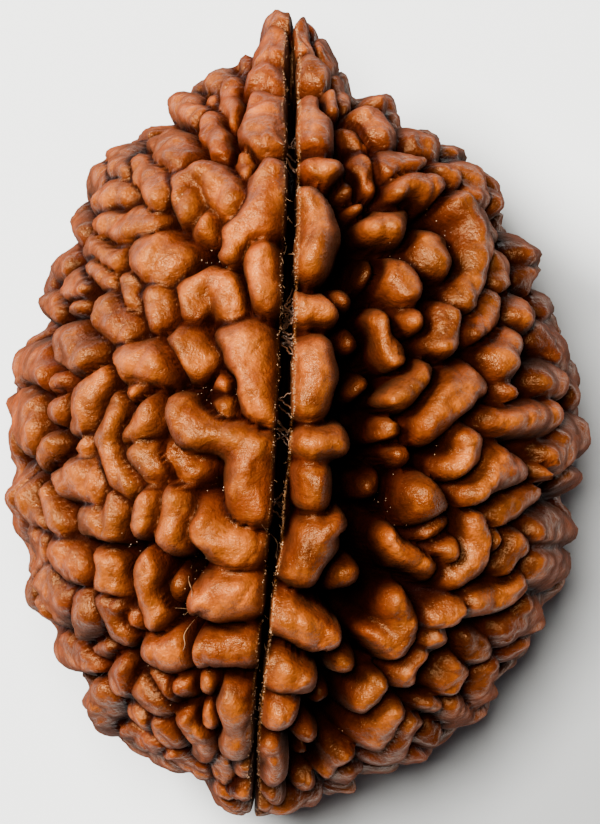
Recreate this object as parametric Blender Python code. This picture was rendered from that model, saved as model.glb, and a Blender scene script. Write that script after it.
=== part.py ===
"""Two mukhi rudraksha: the dried stone of one fruit, with its two clefts and its knobbly ridges.

The stone is a single natural solid, so it is one object. It lies on its back cleft, with the
front cleft on top (+Z), its pointed tip towards +Y and its width along X.
All sizes below are in millimetres. x and y are measured from the middle of the stone as it is
seen from above, and a lobe is given by the line along its crest: (x, y, half width) points.
"""

import math

import bmesh
import bpy
import numpy as np

MM = 0.001

# Outer form: the smooth skin that touches the crests of the lobes
TIP_Y = 14.3
BASE_Y = -14.05
OUTLINE = [
    # y, left edge x, right edge x
    (-13.2, -3.0, 1.7),
    (-12.0, -5.1, 4.4),
    (-10.5, -7.1, 6.4),
    (-8.5, -8.3, 8.0),
    (-6.0, -9.5, 9.4),
    (-3.0, -9.95, 9.85),
    (0.5, -9.9, 10.0),
    (4.0, -8.9, 8.9),
    (6.5, -7.95, 7.7),
    (8.5, -7.0, 6.5),
    (10.0, -5.1, 4.4),
    (11.2, -3.8, 2.4),
    (12.4, -2.0, 1.4),
    (13.4, -1.15, 0.75),
]
CLEFT = [
    # y, x of the cleft's middle, full width of its mouth
    (-14.0, -1.45, 0.04),
    (-11.0, -1.4, 0.06),
    (-8.0, -1.1, 0.10),
    (-4.0, -0.7, 0.20),
    (0.0, -0.4, 0.30),
    (4.0, -0.25, 0.26),
    (8.0, -0.15, 0.24),
    (12.5, -0.15, 0.2),
    (14.0, -0.17, 0.08),
]
FRONT_SHARE = 0.90
FRONT_DEPTH = 8.7
BACK_SHARE = 0.84
SECTION_POWER = 2.15
CORE_SHARE = 0.7
CORE_DROP = 3.0
POLE_NARROWING = 0.05
WIDEST_SHARE = 0.985
AIM_ROUNDS = 4

# Relief
LOBE_RISE = 1.75
FLANK_RISE = 0.95
LOBE_SKIRTS = (0.48, 0.34)
EDGE_WIDENS = 0.35
EDGE_START = 0.75
DOME_POWER = 2.0
SMALL_LOBE = 0.5
SMALL_LOBE_SINKS = 0.6
CREVICE_WIDTH = 0.12
CREVICE_WIDENS = 0.4
CREVICE_SHARES = (0.15, 1.0)
CREVICE_CONTRAST = 1.5
LEVEL_FADE = 3.0
CREVICE_PATCH = 1.9
CREASE_DEPTH = 0.42
CREASE_WIDTH = 0.34
CLEFT_DEPTH = 2.6
CLEFT_WALL = 0.13
CLEFT_RAGGED = [(0.9, 0.05), (0.35, 0.04)]
CLEFT_END_DEPTH = 0.65
CLEFT_END_SHARE = 0.45
FLANK_STRETCH = 0.65
FRONT_FADE = 6.0
EDGE_ANGLE = 1.22
EDGE_REACH = 1.46
TROUGH_DEPTH = 2.4
TROUGH_WIDTH = 1.3
TROUGH = [(2.2, 6.0), (2.7, 3.0), (2.8, -1.5), (2.7, -5.0), (2.1, -9.0), (1.0, -11.5)]
PITS = [
    # x, y, radius, depth of the pits between the front's lobes
    (-3.2, 5.2, 0.7, 0.7),
    (-3.7, 7.6, 0.5, 0.6),
    (-5.7, 7.4, 0.6, 0.4),
    (-4.2, -5.3, 0.9, 0.9),
    (-6.1, -4.6, 0.6, 0.7),
    (-4.4, -7.0, 0.6, 0.9),
    (-5.9, -5.8, 0.5, 0.6),
    (-3.2, -7.4, 0.6, 0.6),
    (-4.0, -10.1, 0.6, 0.6),
    (-5.4, -1.9, 0.5, 0.4),
    (1.3, -10.9, 0.8, 0.9),
    (5.0, -1.4, 0.7, 0.8),
    (5.0, 6.8, 0.6, 0.7),
    (3.7, 5.9, 0.6, 0.7),
    (4.8, -2.2, 0.7, 0.7),
    (7.1, -0.9, 0.6, 0.5),
    (7.8, 0.4, 0.5, 0.5),
]
OUTLINE_SHAPES = [
    # bumps (+) and notches (-) of the outline as seen from the front: x, y, radius, height
    (-0.3, 14.3, 0.4, -0.5),
    (-1.05, 13.3, 0.4, 0.2),
    (0.25, 13.9, 0.35, 0.35),
    (1.2, 13.1, 0.4, 0.15),
    (2.2, 11.15, 0.45, -0.5),
    (3.0, 10.8, 0.6, 0.45),
    (4.15, 10.3, 0.4, -0.5),
    (5.0, 10.0, 0.5, 0.2),
    (7.5, 6.6, 0.5, -0.6),
    (8.5, 5.6, 0.6, 0.35),
    (8.7, 4.5, 0.45, -0.45),
    (9.3, 3.0, 0.4, -0.25),
    (10.1, -0.9, 0.6, 0.05),
    (9.8, -3.0, 0.5, -0.7),
    (9.0, -6.7, 0.5, -0.45),
    (7.5, -9.4, 0.5, -0.5),
    (6.6, -10.7, 0.6, 0.25),
    (4.6, -12.2, 0.5, 0.15),
    (2.9, -12.9, 0.5, -0.45),
    (-4.3, 11.1, 0.5, 0.2),
    (-4.8, 10.3, 0.45, -0.5),
    (-6.4, 9.3, 0.5, 0.2),
    (-8.2, 5.9, 0.35, -0.3),
    (-9.1, 3.0, 0.45, -0.5),
    (-9.6, -2.0, 0.4, -0.45),
    (-9.95, -2.9, 0.5, 0.2),
    (-9.5, -4.9, 0.6, -0.5),
    (-8.8, -7.6, 0.4, -0.25),
    (-7.8, -9.5, 0.5, -0.5),
    (-6.8, -11.1, 0.6, 0.25),
]
WAVES = [
    # size of the wave, how far it shifts the lobes' outlines on the front, and on the back
    (1.7, 0.22, 0.40),
    (0.75, 0.14, 0.18),
]
KNOBS = [
    # size of the unevenness on the lobes, and its height
    (1.3, 0.19),
    (0.6, 0.10),
]
KNUCKLE_SIZE = 1.05
KNUCKLE_DEPTH = 0.16
KNUCKLE_WIDTH = 0.36
LIP_LEVEL = 0.3
LATTICE = 64
CELLS = 32
FAR_OFF = 9.0
WAVE_SEED, PATCH_SEED, KNOB_SEED, KNUCKLE_SEED, CLEFT_SEED = 0, 40, 50, 60, 70

# Front lobes. A row is one ridge: how far its crest stands above (+) or below (-) the skin, then
# its lobes, which only shallow creases part. Ridges are parted by full crevices.
LIPS = [
    (0.35, [(-0.62, 13.55, 0.46), (-0.85, 12.85, 0.66)], [(-1.05, 11.75, 0.75)],
     [(-1.15, 10.7, 0.85), (-1.2, 9.7, 0.82)]),
    (0.35, [(-1.05, 8.3, 0.6), (-1.15, 7.5, 0.72), (-1.3, 6.8, 0.7), (-2.1, 6.2, 0.45), (-2.35, 5.5, 0.4)],
     [(-1.3, 5.4, 0.68), (-1.3, 4.8, 0.7), (-1.25, 4.2, 0.62)]),
    (0.35, [(-1.75, 2.4, 0.85), (-1.65, 1.5, 0.85), (-1.4, 0.6, 0.75), (-1.15, 0.0, 0.5)]),
    (0.35, [(-3.95, 0.1, 0.4), (-3.4, -0.6, 0.5), (-2.4, -0.95, 0.55), (-1.5, -1.3, 0.62),
            (-1.6, -2.0, 0.72), (-1.65, -2.8, 0.72), (-1.5, -3.4, 0.55)]),
    (0.2, [(-5.2, -3.2, 0.45), (-5.4, -3.7, 0.52)], [(-4.2, -3.1, 0.5), (-4.3, -4.2, 0.66)],
     [(-3.1, -3.9, 0.68), (-2.5, -4.4, 0.8), (-1.9, -4.75, 0.66)]),
    (0.3, [(-3.2, -6.55, 0.42), (-2.55, -6.55, 0.84), (-1.8, -6.4, 0.72)]),
    (0.25, [(-3.25, -8.35, 0.32), (-2.6, -8.25, 0.62), (-1.9, -8.35, 0.66)]),
    (0.2, [(-2.35, -9.8, 0.55), (-2.25, -10.6, 0.55), (-2.15, -11.4, 0.48)], [(-1.95, -12.4, 0.34)]),
    (0.1, [(-2.0, -13.3, 0.42)]),
    (0.2, [(0.05, 13.8, 0.34), (0.4, 13.2, 0.4)]),
    (0.3, [(0.6, 12.5, 0.42), (0.7, 11.9, 0.45)], [(1.15, 11.2, 0.33), (1.3, 10.6, 0.25)]),
    (0.35, [(0.65, 10.9, 0.45), (0.72, 10.1, 0.5), (0.7, 9.4, 0.48)]),
    (0.0, [(0.7, 8.5, 0.45), (1.25, 8.35, 0.42)]),
    (0.4, [(0.5, 7.5, 0.42), (0.85, 6.8, 0.62), (1.0, 6.1, 0.75), (0.7, 5.2, 0.6)]),
    (0.4, [(0.65, 3.7, 0.62), (1.15, 3.6, 0.58)]),
    (0.45, [(0.7, 2.0, 0.72), (0.9, 1.3, 0.82), (0.65, 0.5, 0.7)]),
    (0.4, [(0.65, -1.1, 0.62), (1.6, -0.9, 0.5)], [(0.6, -2.1, 0.6), (0.6, -2.8, 0.55)]),
    (0.45, [(1.4, -3.9, 0.5), (0.8, -4.35, 0.88), (0.4, -5.2, 0.82)]),
    (0.4, [(-0.1, -7.25, 0.92), (0.6, -7.4, 0.72), (1.35, -7.6, 0.36)]),
    (0.4, [(-0.3, -9.2, 0.78), (0.1, -9.3, 0.6)], [(-0.45, -10.4, 0.6)]),
    (0.25, [(-0.75, -11.6, 0.5), (-0.85, -12.6, 0.42)], [(-0.75, -13.5, 0.38)]),
]
LEFT_FIELD = [
    (0.0, [(-2.15, 11.5, 0.4), (-2.2, 10.8, 0.38), (-2.15, 10.1, 0.33)]),
    (-0.2, [(-1.85, 8.9, 0.33), (-1.8, 8.3, 0.3)]),
    (0.0, [(-2.0, 12.2, 0.33)]),
    (0.05, [(-2.75, 11.7, 0.5), (-2.5, 11.9, 0.4)]),
    (0.0, [(-2.95, 11.0, 0.38)]),
    (0.0, [(-3.9, 10.85, 0.5), (-3.6, 10.4, 0.42)]),
    (0.05, [(-2.8, 10.0, 0.5), (-2.6, 9.2, 0.48)]),
    (0.15, [(-4.8, 9.5, 0.7), (-4.1, 9.0, 0.7)]),
    (0.0, [(-6.2, 9.0, 0.4), (-6.05, 8.4, 0.38)]),
    (0.05, [(-5.6, 8.8, 0.42), (-5.45, 8.2, 0.45), (-4.85, 7.7, 0.5)]),
    (-0.05, [(-6.9, 8.3, 0.45)]),
    (0.0, [(-6.8, 7.6, 0.5), (-6.2, 7.35, 0.45)]),
    (0.15, [(-3.75, 6.9, 0.36), (-4.1, 7.5, 0.36), (-4.35, 8.0, 0.33), (-3.8, 8.4, 0.38), (-3.1, 8.3, 0.5),
            (-2.6, 7.8, 0.66), (-2.35, 7.2, 0.6)], [(-3.2, 6.5, 0.5)]),
    (0.0, [(-6.8, 6.5, 0.42), (-5.9, 6.6, 0.48), (-5.2, 6.6, 0.42)]),
    (-0.05, [(-7.9, 6.4, 0.35)]),
    (0.0, [(-7.3, 5.6, 0.4), (-6.3, 5.4, 0.45)]),
    (-0.1, [(-7.3, 5.05, 0.25), (-6.7, 4.65, 0.3), (-6.3, 4.4, 0.28)]),
    (0.15, [(-5.1, 5.4, 0.75), (-4.35, 5.1, 0.7)]),
    (0.0, [(-5.9, 4.45, 0.4), (-5.6, 3.85, 0.36)]),
    (0.1, [(-5.0, 3.9, 0.5), (-4.6, 3.3, 0.5)]),
    (0.1, [(-6.7, 3.6, 0.5), (-6.05, 2.9, 0.52)]),
    (-0.05, [(-8.4, 5.3, 0.35)]),
    (0.0, [(-8.05, 4.6, 0.35), (-7.6, 4.3, 0.3)]),
    (0.0, [(-8.6, 3.8, 0.4)]),
    (-0.05, [(-7.7, 3.8, 0.33)]),
    (0.15, [(-3.75, 3.4, 0.35), (-3.65, 4.1, 0.42), (-3.1, 4.5, 0.48), (-2.6, 4.1, 0.55), (-2.2, 3.5, 0.5)]),
    (0.1, [(-3.95, 2.6, 0.58), (-3.45, 1.7, 0.58)]),
    (0.2, [(-5.8, 1.7, 0.8), (-4.8, 1.6, 0.82)], [(-5.5, 0.75, 0.4)]),
    (0.15, [(-8.0, 2.3, 0.75), (-7.5, 1.9, 0.7)]),
    (0.1, [(-9.3, 1.7, 0.5), (-9.1, 1.2, 0.5)]),
    (0.1, [(-6.9, 1.1, 0.42), (-7.4, 0.4, 0.5), (-7.8, -0.4, 0.38)]),
    (-0.05, [(-8.5, 1.0, 0.33)]),
    (-0.05, [(-8.4, 0.1, 0.36)]),
    (0.1, [(-9.5, 0.3, 0.5), (-9.4, -0.7, 0.5)]),
    (0.0, [(-8.8, -1.2, 0.42)]),
    (-0.05, [(-2.4, 0.9, 0.36)]),
    (-0.05, [(-2.45, 0.2, 0.36)]),
    (0.05, [(-5.0, 0.0, 0.5), (-5.4, -0.5, 0.45)]),
    (0.05, [(-5.2, -1.3, 0.45), (-4.8, -1.9, 0.5)]),
    (0.05, [(-6.2, 0.0, 0.4), (-6.6, -0.8, 0.42), (-6.4, -1.7, 0.45), (-5.8, -2.4, 0.42)]),
    (-0.1, [(-7.5, -1.0, 0.33)]),
    (-0.35, [(-4.0, -1.4, 0.4), (-3.6, -2.0, 0.5)]),
    (0.15, [(-8.0, -2.3, 0.62), (-7.2, -2.4, 0.65)]),
    (0.05, [(-9.4, -2.9, 0.5), (-9.2, -3.4, 0.42)]),
    (-0.05, [(-8.7, -2.9, 0.35), (-8.3, -3.8, 0.4)]),
    (0.1, [(-6.3, -3.2, 0.42), (-6.7, -3.9, 0.5), (-7.2, -3.7, 0.38)]),
    (0.05, [(-8.4, -4.7, 0.55), (-7.8, -5.3, 0.55)]),
    (0.1, [(-6.8, -5.0, 0.43), (-6.7, -5.9, 0.46)]),
    (0.1, [(-5.2, -5.1, 0.45), (-5.3, -6.2, 0.43), (-4.9, -7.0, 0.4)]),
    (-0.6, [(-4.1, -6.0, 0.4)]),
    (0.1, [(-9.0, -5.9, 0.5), (-8.4, -6.7, 0.6)]),
    (0.1, [(-7.5, -7.1, 0.6)]),
    (0.1, [(-6.6, -6.8, 0.42), (-6.3, -7.6, 0.42)]),
    (-0.1, [(-5.8, -7.2, 0.28)]),
    (0.15, [(-4.9, -8.3, 0.6), (-4.3, -8.2, 0.6)]),
    (0.0, [(-8.1, -8.3, 0.42), (-7.4, -8.6, 0.42)]),
    (-0.1, [(-6.9, -8.2, 0.32)]),
    (0.0, [(-6.3, -9.0, 0.42), (-6.1, -9.5, 0.38)]),
    (0.0, [(-5.6, -9.6, 0.4), (-4.9, -9.9, 0.42)]),
    (-0.1, [(-5.0, -9.0, 0.24), (-4.4, -9.6, 0.24)]),
    (-0.05, [(-4.0, -9.4, 0.36)]),
    (0.05, [(-7.0, -9.7, 0.47), (-6.7, -10.8, 0.47)]),
    (0.0, [(-5.6, -10.7, 0.42)]),
    (0.0, [(-4.9, -10.9, 0.42), (-4.6, -11.2, 0.38)]),
    (0.0, [(-6.0, -11.2, 0.38), (-5.0, -11.7, 0.38)]),
    (0.05, [(-3.9, -10.7, 0.38), (-3.6, -11.4, 0.38), (-3.2, -12.0, 0.33)]),
    (0.0, [(-3.2, -9.4, 0.35)]),
    (0.0, [(-3.1, -10.5, 0.33)]),
    (0.0, [(-2.7, -12.1, 0.3), (-2.3, -12.8, 0.3)]),
    (0.0, [(-4.3, -12.0, 0.36), (-3.5, -12.6, 0.33)]),
    (0.0, [(-2.5, -13.2, 0.3)]),
]
RIGHT_FIELD = [
    (-0.1, [(1.1, 12.85, 0.32), (1.35, 12.3, 0.33)], [(1.6, 11.5, 0.4), (1.75, 10.8, 0.38)]),
    (0.25, [(2.7, 10.25, 0.62), (3.1, 9.85, 0.66)]),
    (-0.1, [(3.6, 10.35, 0.38)]),
    (-0.3, [(2.05, 9.5, 0.4), (2.3, 9.1, 0.33)]),
    (-0.35, [(2.35, 8.6, 0.36), (2.3, 7.8, 0.4)]),
    (0.1, [(4.5, 9.5, 0.6), (4.9, 9.3, 0.5)], [(5.6, 9.1, 0.38)]),
    (0.1, [(3.25, 8.5, 0.38), (3.7, 8.75, 0.4), (4.3, 8.75, 0.38)]),
    (0.2, [(3.7, 7.6, 0.45), (4.3, 7.8, 0.6), (4.9, 7.8, 0.6)]),
    (-0.05, [(6.0, 8.5, 0.5), (6.4, 7.7, 0.5)]),
    (0.05, [(2.8, 6.4, 0.62), (3.5, 6.5, 0.68)]),
    (-0.4, [(2.1, 7.1, 0.35)]),
    (0.1, [(4.8, 5.75, 0.6), (5.0, 5.3, 0.52)]),
    (0.1, [(3.65, 4.85, 0.58), (4.1, 4.3, 0.5)], [(4.3, 3.3, 0.35)]),
    (-0.1, [(3.2, 3.2, 0.45), (3.4, 2.5, 0.5), (3.55, 1.9, 0.48)]),
    (0.25, [(5.9, 7.1, 0.45), (6.5, 6.5, 0.55), (6.55, 5.7, 0.5), (6.3, 4.7, 0.46), (6.0, 4.0, 0.38)],
     [(5.5, 3.4, 0.38), (5.3, 2.4, 0.42)]),
    (0.0, [(7.15, 6.4, 0.35)]),
    (0.1, [(8.15, 5.5, 0.55)], [(8.3, 4.9, 0.4)]),
    (-0.15, [(7.2, 5.3, 0.33), (7.35, 4.6, 0.3)]),
    (-0.1, [(6.95, 3.9, 0.32), (6.75, 3.2, 0.42), (6.5, 2.7, 0.4)]),
    (0.1, [(8.1, 3.5, 0.55)]),
    (-0.15, [(8.75, 2.7, 0.5), (9.15, 2.0, 0.42)]),
    (0.15, [(7.7, 2.35, 0.42), (7.3, 1.7, 0.52)], [(7.45, 0.8, 0.38)]),
    (0.05, [(9.2, 1.1, 0.48), (8.8, 1.05, 0.45)]),
    (0.1, [(4.55, 1.3, 0.48), (4.0, 0.75, 0.5), (3.5, 0.3, 0.45)]),
    (0.25, [(6.2, 1.0, 0.62), (5.6, 0.7, 0.6), (5.1, 0.1, 0.58), (4.6, -0.4, 0.5)],
     [(5.95, -0.9, 0.42), (6.0, -1.4, 0.36), (5.5, -1.8, 0.33)]),
    (-0.2, [(3.3, -0.6, 0.42)]),
    (-0.4, [(3.6, -1.4, 0.36)]),
    (0.2, [(7.1, -0.15, 0.45), (8.1, -0.15, 0.55), (9.1, -0.05, 0.6)],
     [(9.6, -0.8, 0.5), (9.1, -1.5, 0.5)], [(8.7, -2.1, 0.4)]),
    (0.0, [(9.6, -2.2, 0.35)]),
    (0.25, [(7.9, -2.0, 0.45), (7.25, -1.8, 0.62), (6.6, -2.3, 0.45), (6.1, -2.85, 0.38)]),
    (0.2, [(4.4, -2.7, 0.68), (4.7, -3.2, 0.65)]),
    (-0.3, [(4.9, -3.9, 0.38)]),
    (-0.15, [(3.3, -4.3, 0.42), (3.9, -4.9, 0.42), (4.6, -5.35, 0.38)]),
    (0.2, [(6.35, -3.8, 0.42), (6.55, -4.5, 0.5), (6.2, -5.1, 0.5), (5.75, -5.6, 0.42)],
     [(5.5, -4.85, 0.38)]),
    (0.0, [(8.4, -2.6, 0.32), (7.8, -3.1, 0.32), (7.2, -3.7, 0.32)], [(7.0, -4.4, 0.28)]),
    (0.0, [(9.2, -3.8, 0.5), (8.5, -4.1, 0.45)], [(7.8, -4.5, 0.42), (7.4, -5.2, 0.38)]),
    (0.05, [(9.2, -5.3, 0.6), (8.6, -5.4, 0.55)]),
    (0.25, [(7.9, -5.8, 0.42), (7.1, -6.4, 0.47), (6.4, -6.7, 0.47)],
     [(5.7, -6.85, 0.47), (5.1, -7.2, 0.45)], [(5.0, -7.9, 0.4)]),
    (0.05, [(3.5, -6.6, 0.42), (3.95, -7.2, 0.45), (3.6, -7.9, 0.5), (2.95, -7.6, 0.4)]),
    (0.0, [(8.3, -6.9, 0.52), (7.5, -7.6, 0.5)], [(6.6, -8.2, 0.45)]),
    (0.1, [(4.5, -8.6, 0.36), (4.05, -9.2, 0.36)]),
    (0.1, [(2.9, -9.4, 0.52), (2.3, -10.1, 0.5)]),
    (0.05, [(5.7, -9.0, 0.4), (5.3, -9.5, 0.38)]),
    (0.0, [(6.9, -9.0, 0.42), (6.65, -9.7, 0.42)]),
    (0.2, [(3.5, -10.5, 0.6), (2.8, -11.3, 0.65)], [(1.8, -12.0, 0.45), (1.1, -12.7, 0.42)],
     [(0.5, -13.2, 0.35)]),
    (0.0, [(4.9, -10.2, 0.38)]),
    (0.0, [(5.6, -10.3, 0.42), (6.0, -10.6, 0.38)]),
    (0.0, [(4.8, -11.3, 0.42)]),
    (0.0, [(4.2, -11.9, 0.42)]),
    (0.0, [(2.4, -12.6, 0.34), (1.8, -13.0, 0.3)]),
    (-0.9, [(0.4, -11.8, 0.4)]),
    (-1.0, [(0.9, -9.8, 0.4)]),
    (-1.0, [(2.5, -2.5, 0.5)]),
    (-1.0, [(2.6, 4.8, 0.4)]),
    (-1.0, [(2.0, 2.4, 0.4)]),
    (-0.7, [(2.2, 0.7, 0.45)]),
    (-0.4, [(1.9, 4.0, 0.35)]),
    (-0.8, [(1.8, 7.6, 0.4)]),
]

# Lobes of the sides and the back, which the rule in grown_ridges places
GROWN_SEED = 21
GROWN_TRIES = 5000
GROWN_SPACING = 1.35
GROWN_CLEARANCE = 1.25
GROWN_REACH = 2.1
GROWN_HALF_WIDTH = (0.5, 0.75)
GROWN_LEVEL = (-0.2, 0.15)
GROWN_LONGEST = 4
GROWN_STRAIGHTNESS = 0.5
GROWN_BREAKS = 0.3
POLES_LEFT_OUT = 0.995
BACK_LIP_OFFSET = 0.85
BACK_LIP_VARIES = (0.75, 1.4)
BACK_LIP_WIDEST_SHARE = 0.6
BACK_LIP_STEP = (1.1, 2.9)
BACK_LIP_GAP = 0.45
BACK_LIP_HALF_WIDTH = (0.6, 0.8)
BACK_LIP_LEVEL = (0.1, 0.25)
BACK_LIP_ENDS = (0.7, 1.0)

# Its place. The long axis lies this high above the surface, which cuts the lowest lobes to a flat spot
AXIS_HEIGHT = 8.1
MIDDLE_X = 0.063
MIDDLE_Y = 0.000
GROUND_SIZE = 60.0
GROUND_DEPTH = 10.0

# Mesh
LONGITUDES = 300
LATITUDES = 190
CLEFT_LINES = 5.0
CLEFT_LINES_ANGLE = 0.05
TRIANGLES = 11200


def smooth_rows(rows, at):
    """Each column of rows, a table ordered by its first column, read at these places by a smooth curve."""
    table = np.array(rows, float)
    known, values = table[:, 0], table[:, 1:]
    slopes = np.gradient(values, known, axis=0)
    at = np.clip(at, known[0], known[-1])
    i = np.clip(np.searchsorted(known, at) - 1, 0, len(known) - 2)
    span = (known[i + 1] - known[i])[..., None]
    t = (at - known[i])[..., None] / span
    return (
        (1 + 2 * t) * (1 - t) ** 2 * values[i]
        + t * (1 - t) ** 2 * span * slopes[i]
        + t * t * (3 - 2 * t) * values[i + 1]
        - t * t * (1 - t) * span * slopes[i + 1]
    )


def height_angle(y):
    """The latitude, from -90 to 90 degrees in radians, of a height along the stone."""
    half = (TIP_Y - BASE_Y) / 2
    return np.arcsin(np.clip((np.asarray(y, float) - BASE_Y) / half - 1, -1, 1))


def angle_height(latitude):
    """The height along the stone at this latitude."""
    return BASE_Y + (TIP_Y - BASE_Y) / 2 * (1 + np.sin(latitude))


def fullness_rows():
    """The outline's half widths, left and right of the cleft, as shares of a circle's at that latitude."""
    rows = []
    for y, left, right in OUTLINE:
        middle = smooth_rows(CLEFT, np.array(y))[0]
        latitude = float(height_angle(y))
        rows.append((latitude, (middle - left) / math.cos(latitude), (right - middle) / math.cos(latitude)))
    return rows


FULLNESS = fullness_rows()


def section(latitude):
    """The cleft's x, and the left, right, front and back half sizes before the poles' narrowing."""
    middle = smooth_rows(CLEFT, angle_height(latitude))[..., 0]
    full = smooth_rows(FULLNESS, latitude)
    left, right = full[..., 0], full[..., 1]
    mean = (left + right) / 2
    return middle, left, right, FRONT_SHARE * mean, BACK_SHARE * mean


def skin(latitude, longitude):
    """Points of the smooth skin. Longitude 0 is the front cleft and 90 degrees the right edge."""
    middle, left, right, front, back = section(latitude)
    s, c = np.sin(longitude), np.cos(longitude)
    wide = np.where(s < 0, left, right)
    deep = np.where(c > 0, front, back)
    reach = (np.abs(s / wide) ** SECTION_POWER + np.abs(c / deep) ** SECTION_POWER) ** (-1 / SECTION_POWER)
    reach = reach * np.cos(latitude)
    return np.stack([middle + reach * s, angle_height(latitude), reach * c], axis=-1)


def on_front(x, y):
    """The latitude and longitude of the skin's point that is seen at x, y from the front."""
    latitude = height_angle(y)
    middle, left, right, front, _ = section(latitude)
    narrowing = max(math.cos(latitude), POLE_NARROWING)
    wide = (left if x < middle else right) * narrowing
    share = min(abs(x - middle) / wide, WIDEST_SHARE)
    z = front * narrowing * (1 - share**SECTION_POWER) ** (1 / SECTION_POWER)
    return latitude, math.atan2(math.copysign(share * wide, x - middle), z)


def lattice_noise(points, size, seed):
    """Smooth noise from -1 to 1: random values on a cubic lattice, blended between its corners."""
    rng = np.random.default_rng(seed)
    values = rng.uniform(-1, 1, (LATTICE, LATTICE, LATTICE))
    p = points / size + (LATTICE - 1) / 2
    cell = np.floor(p).astype(int)
    t = p - cell
    t = t * t * (3 - 2 * t)
    total = np.zeros(len(points))
    for corner in np.ndindex(2, 2, 2):
        weight = np.prod(np.where(np.array(corner) == 1, t, 1 - t), axis=1)
        i = (cell + corner) % LATTICE
        total += weight * values[i[:, 0], i[:, 1], i[:, 2]]
    return total


def cell_edges(points, size, seed):
    """Distance to the nearest seam of a jumble of cells: one cell round a random point of each cube."""
    offsets = np.random.default_rng(seed).uniform(0.1, 0.9, (CELLS, CELLS, CELLS, 3))
    p = points / size + (CELLS - 1) / 2
    cell = np.floor(p).astype(int)
    first = np.full(len(points), FAR_OFF)
    second = first.copy()
    for step in np.ndindex(3, 3, 3):
        corner = cell + np.array(step) - 1
        i = corner % CELLS
        away = np.linalg.norm(p - corner - offsets[i[:, 0], i[:, 1], i[:, 2]], axis=1)
        second = np.minimum(second, np.maximum(first, away))
        first = np.minimum(first, away)
    return (second - first) / 2 * size


def outward_from_core(points):
    """Directions in which relief is raised: away from a core line that sags to the back in its middle."""
    core_y = CORE_SHARE * points[..., 1]
    core_z = CORE_DROP * ((points[..., 1] / TIP_Y) ** 2 - 1)
    core = np.stack([smooth_rows(CLEFT, core_y)[..., 0], core_y, core_z], axis=-1)
    outward = points - core
    return outward / np.linalg.norm(outward, axis=-1, keepdims=True)


def crest_point(x, y, level):
    """The skin's point, with its latitude and longitude, under a crest seen at x, y from the front."""
    aim_x, aim_y = x, y
    for _ in range(AIM_ROUNDS):
        latitude, longitude = on_front(aim_x, aim_y)
        point = skin(latitude, longitude)
        seen = point + level * outward_from_core(point)
        aim_x += x - seen[0]
        aim_y += y - seen[1]
    return point, latitude, longitude


def placed_ridges():
    """The front's ridges on the skin: (level, side of the cleft, stretch, lobes).

    Each lobe is a run of (point, half width).
    """
    ridges = []
    lips = [(level + LIP_LEVEL, *lobes) for level, *lobes in LIPS]
    for level, *lobes in lips + LEFT_FIELD + RIGHT_FIELD:
        x, y, _ = lobes[0][0]
        side = 1 if x > smooth_rows(CLEFT, np.array(y))[0] else -1
        placed = []
        for lobe in lobes:
            run = []
            for x, y, half_width in lobe:
                point, latitude, longitude = crest_point(x, y, level)
                half_width *= 1 + EDGE_WIDENS * max(abs(longitude) - EDGE_START, 0)
                run.append((point, half_width))
                if abs(longitude) > EDGE_ANGLE:
                    run.append((skin(latitude, side * EDGE_REACH), half_width))
            placed.append(run)
        ridges.append((level, side, FLANK_STRETCH, placed))
    return ridges


def back_lips(rng):
    """Two rows of lobes along the back cleft."""
    ridges = []
    for side in (-1, 1):
        y = BASE_Y + BACK_LIP_ENDS[0]
        while y < TIP_Y - BACK_LIP_ENDS[1]:
            length = rng.uniform(*BACK_LIP_STEP)
            run = []
            for at in (y + BACK_LIP_GAP, y + length - BACK_LIP_GAP):
                latitude = height_angle(at)
                wide = section(latitude)[4] * math.cos(latitude)
                offset = min(BACK_LIP_OFFSET * rng.uniform(*BACK_LIP_VARIES), BACK_LIP_WIDEST_SHARE * wide)
                crest = skin(latitude, math.pi - side * math.atan2(offset, wide))
                run.append((crest, rng.uniform(*BACK_LIP_HALF_WIDTH)))
            ridges.append((rng.uniform(*BACK_LIP_LEVEL), side, 1.0, [run]))
            y += length
    return ridges


def grown_ridges(taken, rng):
    """Fills the rest of the skin: points kept a spacing apart, joined to their neighbours in short runs."""
    spots = []
    latitudes = np.arcsin(rng.uniform(-POLES_LEFT_OUT, POLES_LEFT_OUT, GROWN_TRIES))
    longitudes = rng.uniform(0, 2 * math.pi, GROWN_TRIES)
    points = skin(latitudes, longitudes)
    for point in points:
        if np.linalg.norm(taken - point, axis=1).min() < GROWN_CLEARANCE:
            continue
        if spots and np.linalg.norm(np.array(spots) - point, axis=1).min() < GROWN_SPACING:
            continue
        spots.append(point)
    spots = np.array(spots)
    sides = np.where(spots[:, 0] > smooth_rows(CLEFT, spots[:, 1])[:, 0], 1, -1)
    free = np.ones(len(spots), bool)
    ridges = []
    for start in range(len(spots)):
        if not free[start]:
            continue
        lobes, run, at, heading = [], [], start, None
        for _ in range(rng.integers(1, GROWN_LONGEST + 1)):
            free[at] = False
            run.append((spots[at], rng.uniform(*GROWN_HALF_WIDTH)))
            steps = spots - spots[at]
            far = np.linalg.norm(steps, axis=1)
            cost = far.copy()
            if heading is not None:
                cost -= GROWN_STRAIGHTNESS * (steps @ heading) / np.maximum(far, 1e-9)
            cost[~free | (far > GROWN_REACH) | (sides != sides[start])] = np.inf
            nearest = int(np.argmin(cost))
            if not np.isfinite(cost[nearest]):
                break
            heading = steps[nearest] / far[nearest]
            if rng.random() < GROWN_BREAKS:
                lobes.append(run)
                run = []
            at = nearest
        if run:
            lobes.append(run)
        ridges.append((rng.uniform(*GROWN_LEVEL), sides[start], 1.0, lobes))
    return ridges


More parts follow.
